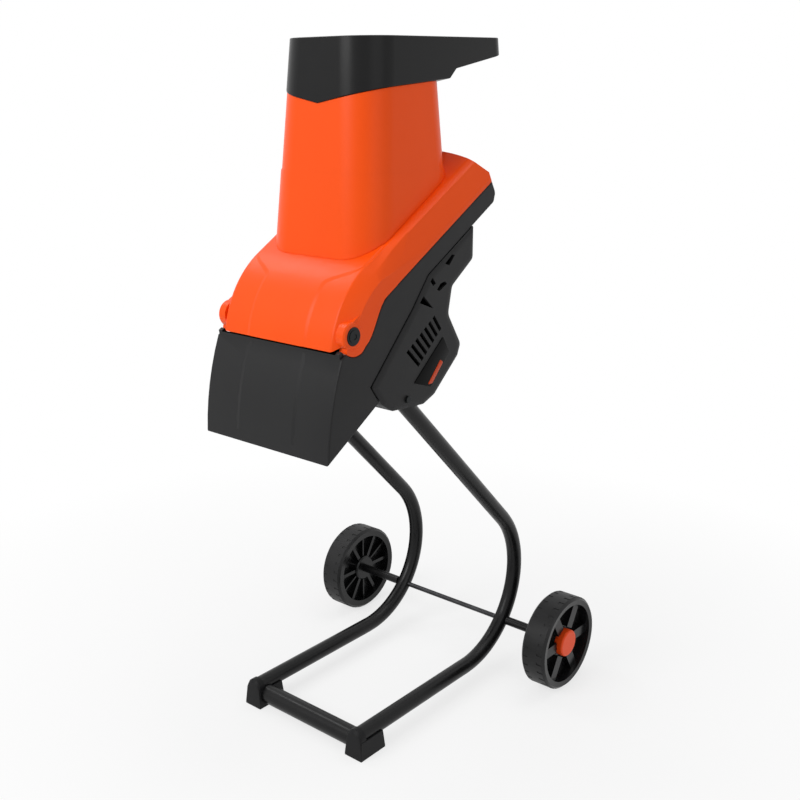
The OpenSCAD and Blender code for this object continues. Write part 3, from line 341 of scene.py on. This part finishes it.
@dataclass(frozen=True)
class Metal:
    """Bare metal with the drawn-out marks of turning, rolling or plating."""

    MARK_SCALE: ClassVar[float] = 160.0
    TARNISH_SCALE: ClassVar[float] = 30.0
    GLOSS_BELOW: ClassVar[float] = 0.08
    GLOSS_ABOVE: ClassVar[float] = 0.1

    name: str
    colour: Colour
    tarnish: Colour
    roughness: float
    drawn: Colour = (1.0, 1.0, 1.0)

    def material(self) -> bpy.types.Material:
        """Returns the finished material."""
        graph = Graph(self.name)
        graph.settle(Metallic=1.0)
        marks = graph.noise(self.MARK_SCALE, 4.0, self.drawn)
        stain = graph.noise(self.TARNISH_SCALE, 4.0)
        graph.feed("Base Color", graph.ramp(stain, self.tarnish, self.colour))
        graph.feed("Roughness", graph.spread(marks, self.roughness - self.GLOSS_BELOW,
                                             self.roughness + self.GLOSS_ABOVE))
        graph.relief(marks, Grain.TURNED.depth)
        return graph.material


Finish = Plastic | Enamel | Tread | Metal

ORANGE = Plastic("orange_shell", (0.95, 0.088, 0.003), (0.92, 0.082, 0.0026), 0.36, Grain.SATIN, 0.2)
CAP_ORANGE = Plastic("orange_cap", (0.95, 0.082, 0.007), (0.90, 0.075, 0.006), 0.40, Grain.SATIN, 0.25)
CHARCOAL = Plastic("charcoal_shell", (0.0135, 0.0135, 0.014), (0.0115, 0.0115, 0.012), 0.46, Grain.SPARK, 0.2)
RIM_BLACK = Plastic("rim_shell", (0.0085, 0.0085, 0.0088), (0.0078, 0.0078, 0.0081), 0.30, Grain.SATIN, 0.16)
FOOT_BLACK = Plastic("foot_plastic", (0.0075, 0.0075, 0.008), (0.006, 0.006, 0.0065), 0.48, Grain.SPARK, 0.15)
BOLT_BLACK = Plastic("bolt_plastic", (0.004, 0.006, 0.007), (0.003, 0.0045, 0.0055), 0.38, Grain.SATIN, 0.2)
SWITCH_BLACK = Plastic("switch_plastic", (0.011, 0.011, 0.012), (0.008, 0.008, 0.009), 0.42, Grain.SPARK, 0.3)
PLATE_BLACK = Plastic("plate_gloss", (0.0012, 0.0012, 0.0013), (0.0016, 0.0016, 0.0017), 0.18, Grain.SATIN, 0.05)
PLATE_ORANGE = Plastic("plate_bar", (0.62, 0.055, 0.004), (0.58, 0.050, 0.004), 0.3, Grain.SATIN, 0.2)
STOP_RED = Plastic("stop_red", (0.55, 0.012, 0.010), (0.48, 0.009, 0.008), 0.34, Grain.SATIN)
START_GREEN = Plastic("start_green", (0.012, 0.20, 0.040), (0.010, 0.17, 0.034), 0.34, Grain.SATIN)
CARBON = Plastic("carbon", (0.012, 0.012, 0.012), (0.02, 0.02, 0.02), 0.7, Grain.SPARK, 0.2)
TUBE_BLACK = Enamel("tube_enamel", (0.0035, 0.0035, 0.0037), (0.0055, 0.0055, 0.0058), 0.32)
WHEEL_BLACK = Tread("wheel_plastic", (0.0045, 0.0045, 0.0048), (0.007, 0.007, 0.0074), 0.26, 0.5)
STEEL = Metal("bright_steel", (0.62, 0.63, 0.65), (0.50, 0.51, 0.53), 0.30)
DARK_STEEL = Metal("axle_steel", (0.055, 0.055, 0.058), (0.035, 0.035, 0.037), 0.36, (0.05, 1.0, 1.0))
CAST_GREY = Metal("cast_alloy", (0.55, 0.56, 0.58), (0.45, 0.46, 0.48), 0.52)
DISC_GREY = Metal("cutter_plate", (0.40, 0.41, 0.42), (0.30, 0.31, 0.32), 0.40)
IRON = Metal("core_iron", (0.30, 0.30, 0.31), (0.22, 0.22, 0.23), 0.5, (1.0, 1.0, 6.0))
BRASS = Metal("brass", (0.75, 0.56, 0.24), (0.62, 0.45, 0.18), 0.32)
COPPER = Metal("copper", (0.78, 0.36, 0.20), (0.62, 0.27, 0.15), 0.36)


@functools.cache
def material_of(finish: Finish) -> bpy.types.Material:
    """Makes a finish's material once.

    Args:
        finish: The finish.

    Returns:
        Its material.
    """
    return finish.material()


@functools.cache
def shading_group() -> bpy.types.NodeTree:
    """Makes the geometry nodes that smooth faces and keep the sharp edges.

    Returns:
        The node group.
    """
    group = bpy.data.node_groups.new("smooth_faces", "GeometryNodeTree")
    group.interface.new_socket("Geometry", in_out="INPUT", socket_type="NodeSocketGeometry")
    group.interface.new_socket("Geometry", in_out="OUTPUT", socket_type="NodeSocketGeometry")
    start = group.nodes.new("NodeGroupInput")
    end = group.nodes.new("NodeGroupOutput")
    bare = group.nodes.new("GeometryNodeRemoveAttribute")
    bare.inputs["Name"].default_value = "custom_normal"
    faces = group.nodes.new("GeometryNodeSetShadeSmooth")
    edges = group.nodes.new("GeometryNodeSetShadeSmooth")
    edges.domain = "EDGE"
    angle = group.nodes.new("GeometryNodeInputMeshEdgeAngle")
    gentle = group.nodes.new("FunctionNodeCompare")
    gentle.operation = "LESS_THAN"
    gentle.inputs["B"].default_value = SHARP_ANGLE
    group.links.new(angle.outputs["Unsigned Angle"], gentle.inputs["A"])
    group.links.new(gentle.outputs["Result"], edges.inputs["Shade Smooth"])
    chain = (start, bare, faces, edges, end)
    for first, second in zip(chain, chain[1:]):
        group.links.new(first.outputs["Geometry"], second.inputs["Geometry"])
    return group


def smooth(piece: bpy.types.Object) -> None:
    """Smooths a piece's curved faces."""
    piece.modifiers.new("smooth_faces", "NODES").node_group = shading_group()


@dataclass(frozen=True)
class Rounding:
    """Rounding of a solid's sharp edges, as a width in millimetres and a count of faces."""

    width: float
    segments: int = 2
    held: bool = True

    def apply(self, piece: bpy.types.Object) -> None:
        """Rounds the edges, held back by the shortest edge unless the solid has none that is too short.

        Args:
            piece: Object to round, whose mesh stays as it is.
        """
        bevel = piece.modifiers.new("edges", "BEVEL")
        bevel.width = self.width * MM
        bevel.segments = self.segments
        bevel.use_clamp_overlap = self.held
        bevel.limit_method = "ANGLE"
        bevel.angle_limit = SHARP_ANGLE


def dress(nodes: Sequence[str], finish: Finish, rounding: Rounding | None = None) -> None:
    """Gives solids of the frame a finish and soft edges.

    Args:
        nodes: Names of the solids.
        finish: Finish of every one.
        rounding: Rounding of their edges, where they have one.
    """
    for name in nodes:
        solid = frame["nodes"][name]
        solid.data.materials.clear()
        solid.data.materials.append(material_of(finish))
        solid.modifiers.new("weld", "WELD").merge_threshold = WELD_GAP
        flat = solid.modifiers.new("flat_faces", "DECIMATE")
        flat.decimate_type = "DISSOLVE"
        flat.angle_limit = FLAT_ANGLE
        if rounding:
            rounding.apply(solid)
        smooth(solid)
        solid.modifiers.new("even_normals", "WEIGHTED_NORMAL").keep_sharp = True
        LOG.info("dressed %s in %s", name, finish.name)


def finish_mesh(bm: bmesh.types.BMesh, name: str, finish: Finish, body: Body) -> bpy.types.Object:
    """Turns a bmesh into a piece that rides on a body.

    Args:
        bm: Mesh in the machine's frame, freed here.
        name: Name of the piece.
        finish: Its finish.
        body: Body that carries it.

    Returns:
        The new object.
    """
    bmesh.ops.remove_doubles(bm, verts=bm.verts, dist=WELD_GAP)
    bmesh.ops.recalc_face_normals(bm, faces=bm.faces)
    mesh = bpy.data.meshes.new(name)
    bm.to_mesh(mesh)
    bm.free()
    mesh.materials.append(material_of(finish))
    piece = bpy.data.objects.new(name, mesh)
    bpy.context.scene.collection.objects.link(piece)
    smooth(piece)
    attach(piece, body.value)
    LOG.info("built %s on %s", name, body.value)
    return piece


def divided_loop(bm: bmesh.types.BMesh, outline: Sequence[Vector], cuts: int) -> list[bmesh.types.BMEdge]:
    """Draws a closed outline with each of its sides divided evenly.

    Args:
        bm: Mesh to draw in.
        outline: Corners in order.
        cuts: New points on each side.

    Returns:
        The outline's edges.
    """
    points = [a.lerp(b, step / (cuts + 1)) for a, b in zip(outline, [*outline[1:], outline[0]])
              for step in range(cuts + 1)]
    verts = [bm.verts.new(point) for point in points]
    return [bm.edges.new(pair) for pair in zip(verts, verts[1:] + verts[:1])]


@dataclass
class Deck:
    """Leaning frame of the cutting body: v runs up the deck from the hinge, w stands square to it."""

    hinge: Vector
    up: Vector

    @classmethod
    def from_frame(cls) -> "Deck":
        """Returns the deck that the tip hinge and the lock's axis describe."""
        joints = {joint["name"]: joint for joint in frame["joints"]}
        return cls(Vector(joints["hopper_tip"]["pos_m"]), Vector(joints["lock_turn"]["axis"]))

    def matrix(self) -> Matrix:
        """Returns the placing of a mesh drawn in deck millimetres."""
        along = self.up.cross(ACROSS)
        turn = Matrix((ACROSS, along, self.up)).transposed().to_4x4()
        return Matrix.Translation((0, self.hinge.y, self.hinge.z)) @ turn @ Matrix.Scale(MM, 4)

    def place(self, bm: bmesh.types.BMesh) -> None:
        """Moves a mesh drawn in deck millimetres to its place in the machine."""
        bmesh.ops.transform(bm, matrix=self.matrix(), verts=bm.verts)


@dataclass(frozen=True)
class RaisedPanel:
    """Panel that runs up the chute front and the apron, with a soft slope along both its edges."""

    half: float = 49.0
    rise: float = 0.9
    slope: float = 8.0


@dataclass(frozen=True)
class StepPoint:
    """Place on the edge of a raised panel, in deck millimetres from the hinge.

    The slope's skin starts sunk in the panel, lifts clear of its edge and ends sunk in the shell.
    """

    LAP: ClassVar[float] = 3.0
    LIFT: ClassVar[float] = 0.07
    SINK: ClassVar[float] = 0.15
    ROOT: ClassVar[float] = 0.8
    FACES: ClassVar[int] = 6

    base: Vector
    out: Vector
    rise: float
    edge: float
    foot: float
    drop: float = 0.0

    def section(self, side: int) -> list[Vector]:
        """Draws the slope that rises out of the panel and runs down into the shell beside it.

        Args:
            side: 1 for the right edge, -1 for the left.

        Returns:
            The outline's corners in order.
        """
        across = ACROSS * side
        start = self.edge - self.LAP
        corners = [self.base + across * start + self.out * (self.rise - self.SINK)]
        for step in range(self.FACES + 1):
            share = step / self.FACES
            fall = share * share * (3 - 2 * share)
            skin = self.LIFT - (self.LIFT + self.SINK) * share
            height = self.rise * (1 - fall) - self.drop * fall + skin
            reach = self.edge + share * (self.foot - self.edge)
            corners.append(self.base + across * reach + self.out * height)
        corners.append(self.base + across * self.foot - self.out * (self.drop + self.ROOT))
        corners.append(self.base + across * start - self.out * self.ROOT)
        return corners


def soft_step(name: str, deck: Deck, points: Sequence[StepPoint], side: int, finish: Finish,
              body: Body) -> bpy.types.Object:
    """Builds the slope along one edge of a raised panel.

    Args:
        name: Name of the piece.
        deck: Frame that the points are drawn in.
        points: Places along the edge.
        side: 1 for the right edge, -1 for the left.
        finish: Finish of the shell.
        body: Body that carries the shell.

    Returns:
        The slope.
    """
    bm = bmesh.new()
    last = points[0].section(side)
    caps = [bm.faces.new([bm.verts.new(place) for place in last])]
    for point in points[1:]:
        made = bmesh.ops.extrude_face_region(bm, geom=caps[-1:])["geom"]
        caps.append(next(item for item in made if isinstance(item, bmesh.types.BMFace)))
        section = point.section(side)
        for vert in caps[-1].verts:
            nearest = min(range(len(last)), key=lambda index: (last[index] - vert.co).length)
            vert.co = section[nearest]
        last = section
    bmesh.ops.delete(bm, geom=caps[1:-1], context="FACES_ONLY")
    deck.place(bm)
    return finish_mesh(bm, name, finish, body)


@dataclass
class Stand:
    """Bent tubes, crossbar, feet and axle."""

    tube_edge: Rounding = Rounding(0.6)
    foot_edge: Rounding = Rounding(1.6, 3)
    clip_edge: Rounding = Rounding(0.3)
    screw_edge: Rounding = Rounding(0.5)

    def dress(self) -> None:
        """Finishes the stand's solids."""
        dress(("left_leg_tube", "right_leg_tube", "front_crossbar", "axle_sleeves"), TUBE_BLACK, self.tube_edge)
        dress(("left_foot", "right_foot"), FOOT_BLACK, self.foot_edge)
        dress(("axle",), DARK_STEEL, self.tube_edge)
        dress(("axle_clips",), STEEL, self.clip_edge)
        dress(("leg_screws",), BOLT_BLACK, self.screw_edge)


@dataclass
class Wheels:
    """Two moulded wheels with push-on caps."""

    edge: Rounding = Rounding(1.0)

    def dress(self) -> None:
        """Finishes the wheels."""
        dress(("left_wheel", "right_wheel"), WHEEL_BLACK, self.edge)
        dress(("left_hub_cap", "right_hub_cap"), CAP_ORANGE, self.edge)


@dataclass(frozen=True)
class BoltSocket:
    """Raised ring with a six-sided opening on the head of a hinge bolt, in millimetres."""

    HEX: ClassVar[int] = 6

    flat: float = 4.6
    rim: float = 8.6
    rise: float = 0.7
    root: float = 0.2
    cuts: int = 7

    def ring(self, radius: float, count: int, reach: float) -> list[Vector]:
        """Places points evenly round the bolt's axis.

        Args:
            radius: Distance from the axis.
            count: Number of points.
            reach: Distance from the machine's middle.

        Returns:
            The points.
        """
        spoke = Vector((0, radius, 0))
        return [ACROSS * reach + Matrix.Rotation(math.tau * step / count, 3, "X") @ spoke for step in range(count)]

    def build(self, deck: Deck, side: int, word: str) -> bpy.types.Object:
        """Builds the ring.

        Args:
            deck: Frame of the hinge.
            side: 1 for the right bolt, -1 for the left.
            word: Name of that side.

        Returns:
            The ring.
        """
        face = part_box("hinge_bolts")[1].x / MM + self.rise
        bm = bmesh.new()
        inner = divided_loop(bm, self.ring(self.flat, self.HEX, face), self.cuts)
        outer = divided_loop(bm, self.ring(self.rim, self.HEX * (self.cuts + 1), face), 0)
        bmesh.ops.bridge_loops(bm, edges=inner + outer)
        skirt = bmesh.ops.extrude_edge_only(bm, edges=inner + outer)["geom"]
        low = [item for item in skirt if isinstance(item, bmesh.types.BMVert)]
        bmesh.ops.translate(bm, verts=low, vec=ACROSS * -(self.rise + self.root))
        base = set(low)
        bmesh.ops.bridge_loops(bm, edges=[edge for edge in bm.edges if base.issuperset(edge.verts)])
        bmesh.ops.scale(bm, vec=(side, 1, 1), verts=bm.verts)
        deck.place(bm)
        return finish_mesh(bm, f"{word}_bolt_socket", BOLT_BLACK, Body.STAND)


@dataclass(frozen=True)
class SidePlate:
    """Flat plate on the motor housing's right side, with its corners as v and w from the hinge in millimetres."""

    SUNK: ClassVar[float] = 0.3
    CORNER: ClassVar[float] = 2.2
    CORNER_FACES: ClassVar[int] = 5
    LIP: ClassVar[float] = 0.35
    LIP_FACES: ClassVar[int] = 2

    name: str
    corners: tuple[Point, ...]
    rise: float
    finish: Plastic
    slot: Slot

    def build(self, deck: Deck) -> bpy.types.Object:
        """Builds the plate with rounded corners and a soft lip.

        Args:
            deck: Frame of the hinge.

        Returns:
            The plate.
        """
        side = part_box("motor_housing")[1].x / MM
        bm = bmesh.new()
        face = bm.faces.new([bm.verts.new((side - self.SUNK, *corner)) for corner in self.corners])
        made = bmesh.ops.extrude_face_region(bm, geom=[face])["geom"]
        top = [item for item in made if isinstance(item, bmesh.types.BMVert)]
        bmesh.ops.translate(bm, verts=top, vec=ACROSS * (self.rise + self.SUNK))
        high = set(top)
        posts = [edge for edge in bm.edges if len(high.intersection(edge.verts)) == 1]
        bmesh.ops.bevel(bm, geom=posts, offset=self.CORNER, offset_type="OFFSET", affect="EDGES",
                        segments=self.CORNER_FACES, profile=0.5, material=-1)
        level = side + self.rise / 2
        lip = [edge for edge in bm.edges if all(vert.co.x > level for vert in edge.verts)]
        bmesh.ops.bevel(bm, geom=lip, offset=self.LIP, offset_type="OFFSET", affect="EDGES",
                        segments=self.LIP_FACES, profile=0.5, material=-1)
        deck.place(bm)
        return finish_mesh(bm, self.name, self.finish, Body.STAND)


@dataclass
class LowerBody:
    """Chute and tray, motor housing, rear controls and the bare plate on the right side."""

    deck: Deck
    panel: RaisedPanel
    shell_edge: Rounding = Rounding(1.2)
    bolt_edge: Rounding = Rounding(0.8, 3)
    switch_edge: Rounding = Rounding(1.0)
    button_edge: Rounding = Rounding(1.5, 3)
    reset_edge: Rounding = Rounding(1.0, 3)
    metal_edge: Rounding = Rounding(0.4)
    socket: BoltSocket = BoltSocket()
    plates: tuple[SidePlate, ...] = (
        SidePlate("side_plate", ((58.7, -131.8), (140.6, -116.3), (140.8, -144.2), (84.9, -161.0)), 0.9,
                  PLATE_BLACK, Slot.BLACK_SHELL),
        SidePlate("side_plate_bar", ((88.5, -158.2), (122.5, -147.8), (119.4, -140.6), (80.5, -152.9)), 1.3,
                  PLATE_ORANGE, Slot.ORANGE_SHELL),
    )
    chute_top: Point = (-32.0, -12.8)
    chute_lip: Point = (-123.0, -114.3)
    chute_bow: float = 6.0
    chute_panel_end: float = 8 / 9
    chute_steps: int = 8

    def dress(self) -> None:
        """Finishes the lower body's solids."""
        dress(("lower_housing", "motor_housing"), CHARCOAL, self.shell_edge)
        dress(("hinge_bolts",), BOLT_BLACK, self.bolt_edge)
        dress(("switch_box", "power_inlet", "safety_switch"), SWITCH_BLACK, self.switch_edge)
        dress(("stop_button",), STOP_RED, self.button_edge)
        dress(("start_button",), START_GREEN, self.button_edge)
        dress(("reset_button",), BOLT_BLACK, self.reset_edge)
        dress(("inlet_pins", "lock_insert"), BRASS, self.metal_edge)
        dress(("motor_screws",), STEEL, self.metal_edge)

    def chute_edge(self) -> list[StepPoint]:
        """Returns the places along the panel on the bowed chute front."""
        top = Vector((0, *self.chute_top))
        run = Vector((0, *self.chute_lip)) - top
        out = run.cross(ACROSS).normalized()
        points = []
        for step in range(self.chute_steps + 1):
            share = self.chute_panel_end * step / self.chute_steps
            bulge = 4 * share * (1 - share)
            base = top + run * share + out * self.chute_bow * bulge
            points.append(StepPoint(base, out, self.panel.rise * bulge, self.panel.half,
                                    self.panel.half + self.panel.slope))
        return points

    def build(self) -> None:
        """Builds the side plate with its bar, the bolts' sockets and the slopes of the chute's panel."""
        for plate in self.plates:
            plate.build(self.deck)
        for side, word in SIDES:
            self.socket.build(self.deck, side, word)
            soft_step(f"{word}_chute_slope", self.deck, self.chute_edge(), side, CHARCOAL, Body.STAND)


@dataclass
class Drive:
    """Gear case, motor and cutter inside the body."""

    case_edge: Rounding = Rounding(0.6)
    disc_edge: Rounding = Rounding(0.4)
    blade_edge: Rounding = Rounding(0.25)

    def dress(self) -> None:
        """Finishes the drive's solids."""
        dress(("gear_case_lid", "gear_case_base"), CAST_GREY, self.case_edge)
        dress(("spindle_bearing_upper", "spindle_bearing_lower", "armature_bearing_upper",
               "armature_bearing_lower", "spindle", "drive_gear", "armature_shaft", "pinion"), STEEL)
        dress(("armature_core", "stator"), IRON)
        dress(("commutator", "field_coils"), COPPER)
        dress(("brush_holders",), BRASS)
        dress(("carbon_brushes",), CARBON)
        dress(("cooling_fan",), SWITCH_BLACK)
        dress(("cutter_disc",), DISC_GREY, self.disc_edge)
        dress(("blades", "blade_screws", "disc_bolt", "counter_blade", "counter_blade_screws"), STEEL,
              self.blade_edge)


@dataclass
class TippingTop:
    """Cover with its hinge ears, feed column and rim, in deck millimetres from the hinge."""

    deck: Deck
    panel: RaisedPanel
    cover_edge: Rounding = Rounding(1.4, 3)
    column_edge: Rounding = Rounding(1.2, 3, held=False)
    rim_edge: Rounding = Rounding(1.2, 3, held=False)
    apron_centre: Point = (81.0, -90.8)
    apron_radius: float = 139.5
    apron_low: float = 142.1
    apron_top: float = 90.0
    apron_step: float = 2.0
    deck_run: tuple[float, ...] = (95.0, 110.0, 123.0)
    flare_start: float = 47.0
    flare_end: float = 74.0
    flare_half: float = 96.0
    shoulder: float = 97.5
    shoulder_run: float = 3.5

    def dress(self) -> None:
        """Finishes the top's solids."""
        dress(("top_cover",), ORANGE, self.cover_edge)
        dress(("hopper_column",), ORANGE, self.column_edge)
        dress(("hopper_rim",), RIM_BLACK, self.rim_edge)

    def edge_point(self, base: Vector, out: Vector) -> StepPoint:
        """Places the panel's edge and the foot of its slope across the apron.

        Args:
            base: Point of the plain apron.
            out: Direction square to the apron there.

        Returns:
            The place on the edge.
        """
        spread = (self.flare_half - self.panel.half) / (self.flare_end - self.flare_start)
        gone = min(max(base.y, self.flare_start), self.flare_end) - self.flare_start
        edge = self.panel.half + gone * spread
        slant = self.panel.half + self.panel.slope * math.hypot(1, spread) + (base.y - self.flare_start) * spread
        foot = min(max(self.panel.half + self.panel.slope, slant), self.shoulder + self.shoulder_run)
        drop = max(0.0, foot - self.shoulder) / self.shoulder_run
        return StepPoint(base, out, self.panel.rise, edge, foot, drop)

    def apron_edge(self) -> list[StepPoint]:
        """Returns the places along the panel that runs up the apron and spreads at the column."""
        centre = Vector((0, *self.apron_centre))
        points = []
        count = math.ceil((self.apron_low - self.apron_top) / self.apron_step)
        for step in range(count + 1):
            angle = math.radians(self.apron_low + (self.apron_top - self.apron_low) * step / count)
            out = Vector((0, math.cos(angle), math.sin(angle)))
            points.append(self.edge_point(centre + out * self.apron_radius, out))
        for along in self.deck_run:
            base = Vector((0, along, centre.z + self.apron_radius))
            points.append(self.edge_point(base, Vector((0, 0, 1))))
        return points

    def build(self) -> None:
        """Builds the slopes beside the apron's raised panel."""
        for side, word in SIDES:
            soft_step(f"{word}_apron_slope", self.deck, self.apron_edge(), side, ORANGE, Body.HOPPER)


@dataclass
class Lock:
    """Knob, screw and captive washer that hold the top down."""

    edge: Rounding = Rounding(0.3)
    knob_edge: Rounding = Rounding(0.3, 3)

    def dress(self) -> None:
        """Finishes the lock's solids."""
        dress(("lock_knob",), SWITCH_BLACK, self.knob_edge)
        dress(("lock_screw", "lock_washer"), STEEL, self.edge)


@dataclass(frozen=True)
class Lamp:
    """Soft square lamp aimed at the middle of the machine."""

    name: str
    place: tuple[float, float, float]
    size: float
    power: float

    def build(self, target: Vector) -> None:
        """Makes the lamp.

        Args:
            target: Point that it faces.
        """
        light = bpy.data.lights.new(self.name, "AREA")
        light.size = self.size
        light.energy = self.power
        lamp = bpy.data.objects.new(self.name, light)
        lamp.location = self.place
        lamp.rotation_euler = (target - Vector(self.place)).to_track_quat("-Z", "Y").to_euler()
        bpy.context.scene.collection.objects.link(lamp)


@dataclass
class Studio:
    """Pale floor, white surroundings, soft lamps and the camera."""

    WHITE: ClassVar[tuple[float, ...]] = (1, 1, 1, 1)

    ambient: float = 0.42
    floor_colour: tuple[float, ...] = (0.9, 0.9, 0.9, 1)
    floor_radius: float = 9.0
    floor_sides: int = 96
    floor_drop: float = 0.4 * MM
    fade_near: Point = (0.3, 0.72)
    fade_far: Point = (1.1, 1.0)
    camera_place: tuple[float, float, float] = (1.0077, -1.1618, 0.9177)
    camera_yaw: float = 40.1
    camera_pitch: float = -16.2
    camera_lens: float = 48.0
    camera_sensor: float = 36.0
    lamps: tuple[Lamp, ...] = (
        Lamp("key_lamp", (-0.6, -2.4, 2.1), 1.5, 43.0),
        Lamp("side_lamp", (2.4, -0.6, 1.6), 1.6, 5.5),
        Lamp("top_lamp", (0.3, 0.8, 2.8), 1.4, 12.0),
        Lamp("crown_lamp", (-1.5, -0.2, 2.25), 0.6, 6.0),
    )

    def seen_ray(self, tree: bpy.types.NodeTree) -> bpy.types.NodeSocket:
        """Adds nodes that give 1 for rays that show the surroundings.

        Args:
            tree: Node tree to add to.

        Returns:
            The value.
        """
        path = tree.nodes.new("ShaderNodeLightPath")
        total = path.outputs["Is Camera Ray"]
        for name in ("Is Glossy Ray", "Is Transmission Ray"):
            both = tree.nodes.new("ShaderNodeMath")
            both.operation = "MAXIMUM"
            tree.links.new(total, both.inputs[0])
            tree.links.new(path.outputs[name], both.inputs[1])
            total = both.outputs[0]
        return total

    def build_world(self) -> None:
        """Makes surroundings that show white and light the machine softly."""
        world = bpy.data.worlds.new("studio")
        world.use_nodes = True
        bpy.context.scene.world = world
        tree = world.node_tree
        soft = tree.nodes["Background"]
        soft.inputs["Color"].default_value = self.WHITE
        soft.inputs["Strength"].default_value = self.ambient
        white = tree.nodes.new("ShaderNodeBackground")
        white.inputs["Color"].default_value = self.WHITE
        white.inputs["Strength"].default_value = 1.0
        mix = tree.nodes.new("ShaderNodeMixShader")
        tree.links.new(self.seen_ray(tree), mix.inputs["Fac"])
        tree.links.new(soft.outputs[0], mix.inputs[1])
        tree.links.new(white.outputs[0], mix.inputs[2])
        tree.links.new(mix.outputs[0], tree.nodes["World Output"].inputs["Surface"])

    def floor_material(self) -> bpy.types.Material:
        """Returns a pale floor that keeps a faint shadow and fades to white."""
        graph = Graph("pale_floor")
        graph.settle(Base_Color=self.floor_colour, Roughness=0.9, Specular_IOR_Level=0.1)
        fade = graph.spread(graph.length(graph.place), self.fade_near[1], self.fade_far[1],
                            self.fade_near[0], self.fade_far[0])
        share = graph.add("ShaderNodeMath")
        share.operation = "MULTIPLY"
        graph.join(fade, share.inputs[0])
        graph.join(self.seen_ray(graph.material.node_tree), share.inputs[1])
        white = graph.add("ShaderNodeEmission", Color=self.WHITE, Strength=1.0)
        mix = graph.add("ShaderNodeMixShader")
        graph.join(share.outputs[0], mix.inputs["Fac"])
        graph.join(graph.shader.outputs[0], mix.inputs[1])
        graph.join(white.outputs[0], mix.inputs[2])
        graph.join(mix.outputs[0], graph.nodes["Material Output"].inputs["Surface"])
        return graph.material

    def build_floor(self) -> None:
        """Makes the round floor."""
        bm = bmesh.new()
        bmesh.ops.create_circle(bm, cap_ends=True, segments=self.floor_sides, radius=self.floor_radius)
        bmesh.ops.translate(bm, verts=bm.verts, vec=(0, 0, -self.floor_drop))
        mesh = bpy.data.meshes.new("studio_floor")
        bm.to_mesh(mesh)
        bm.free()
        mesh.materials.append(self.floor_material())
        floor = bpy.data.objects.new("studio_floor", mesh)
        bpy.context.scene.collection.objects.link(floor)

    def build_camera(self) -> None:
        """Makes the camera at the photograph's place and angle."""
        lens = bpy.data.cameras.new("camera")
        lens.sensor_width = self.camera_sensor
        lens.lens = self.camera_lens
        camera = bpy.data.objects.new("camera", lens)
        camera.location = self.camera_place
        camera.rotation_euler = (math.radians(90 + self.camera_pitch), 0, math.radians(self.camera_yaw))
        bpy.context.scene.collection.objects.link(camera)
        bpy.context.scene.camera = camera

    def build(self) -> None:
        """Makes the whole studio."""
        bpy.context.scene.view_settings.view_transform = "Standard"
        self.build_world()
        self.build_floor()
        middle = (CAD_BOX[0] + CAD_BOX[1]) / 2
        for lamp in self.lamps:
            lamp.build(middle)
        self.build_camera()


def main() -> None:
    """Builds the studio, dresses every sub-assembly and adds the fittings."""
    logging.basicConfig(level=logging.INFO, format="%(name)s: %(message)s")
    Studio().build()
    deck = Deck.from_frame()
    panel = RaisedPanel()
    lower = LowerBody(deck, panel)
    top = TippingTop(deck, panel)
    for assembly in (Stand(), Wheels(), lower, Drive(), top, Lock()):
        assembly.dress()
    for assembly in (lower, top):
        assembly.build()


if __name__ == "__main__":
    main()
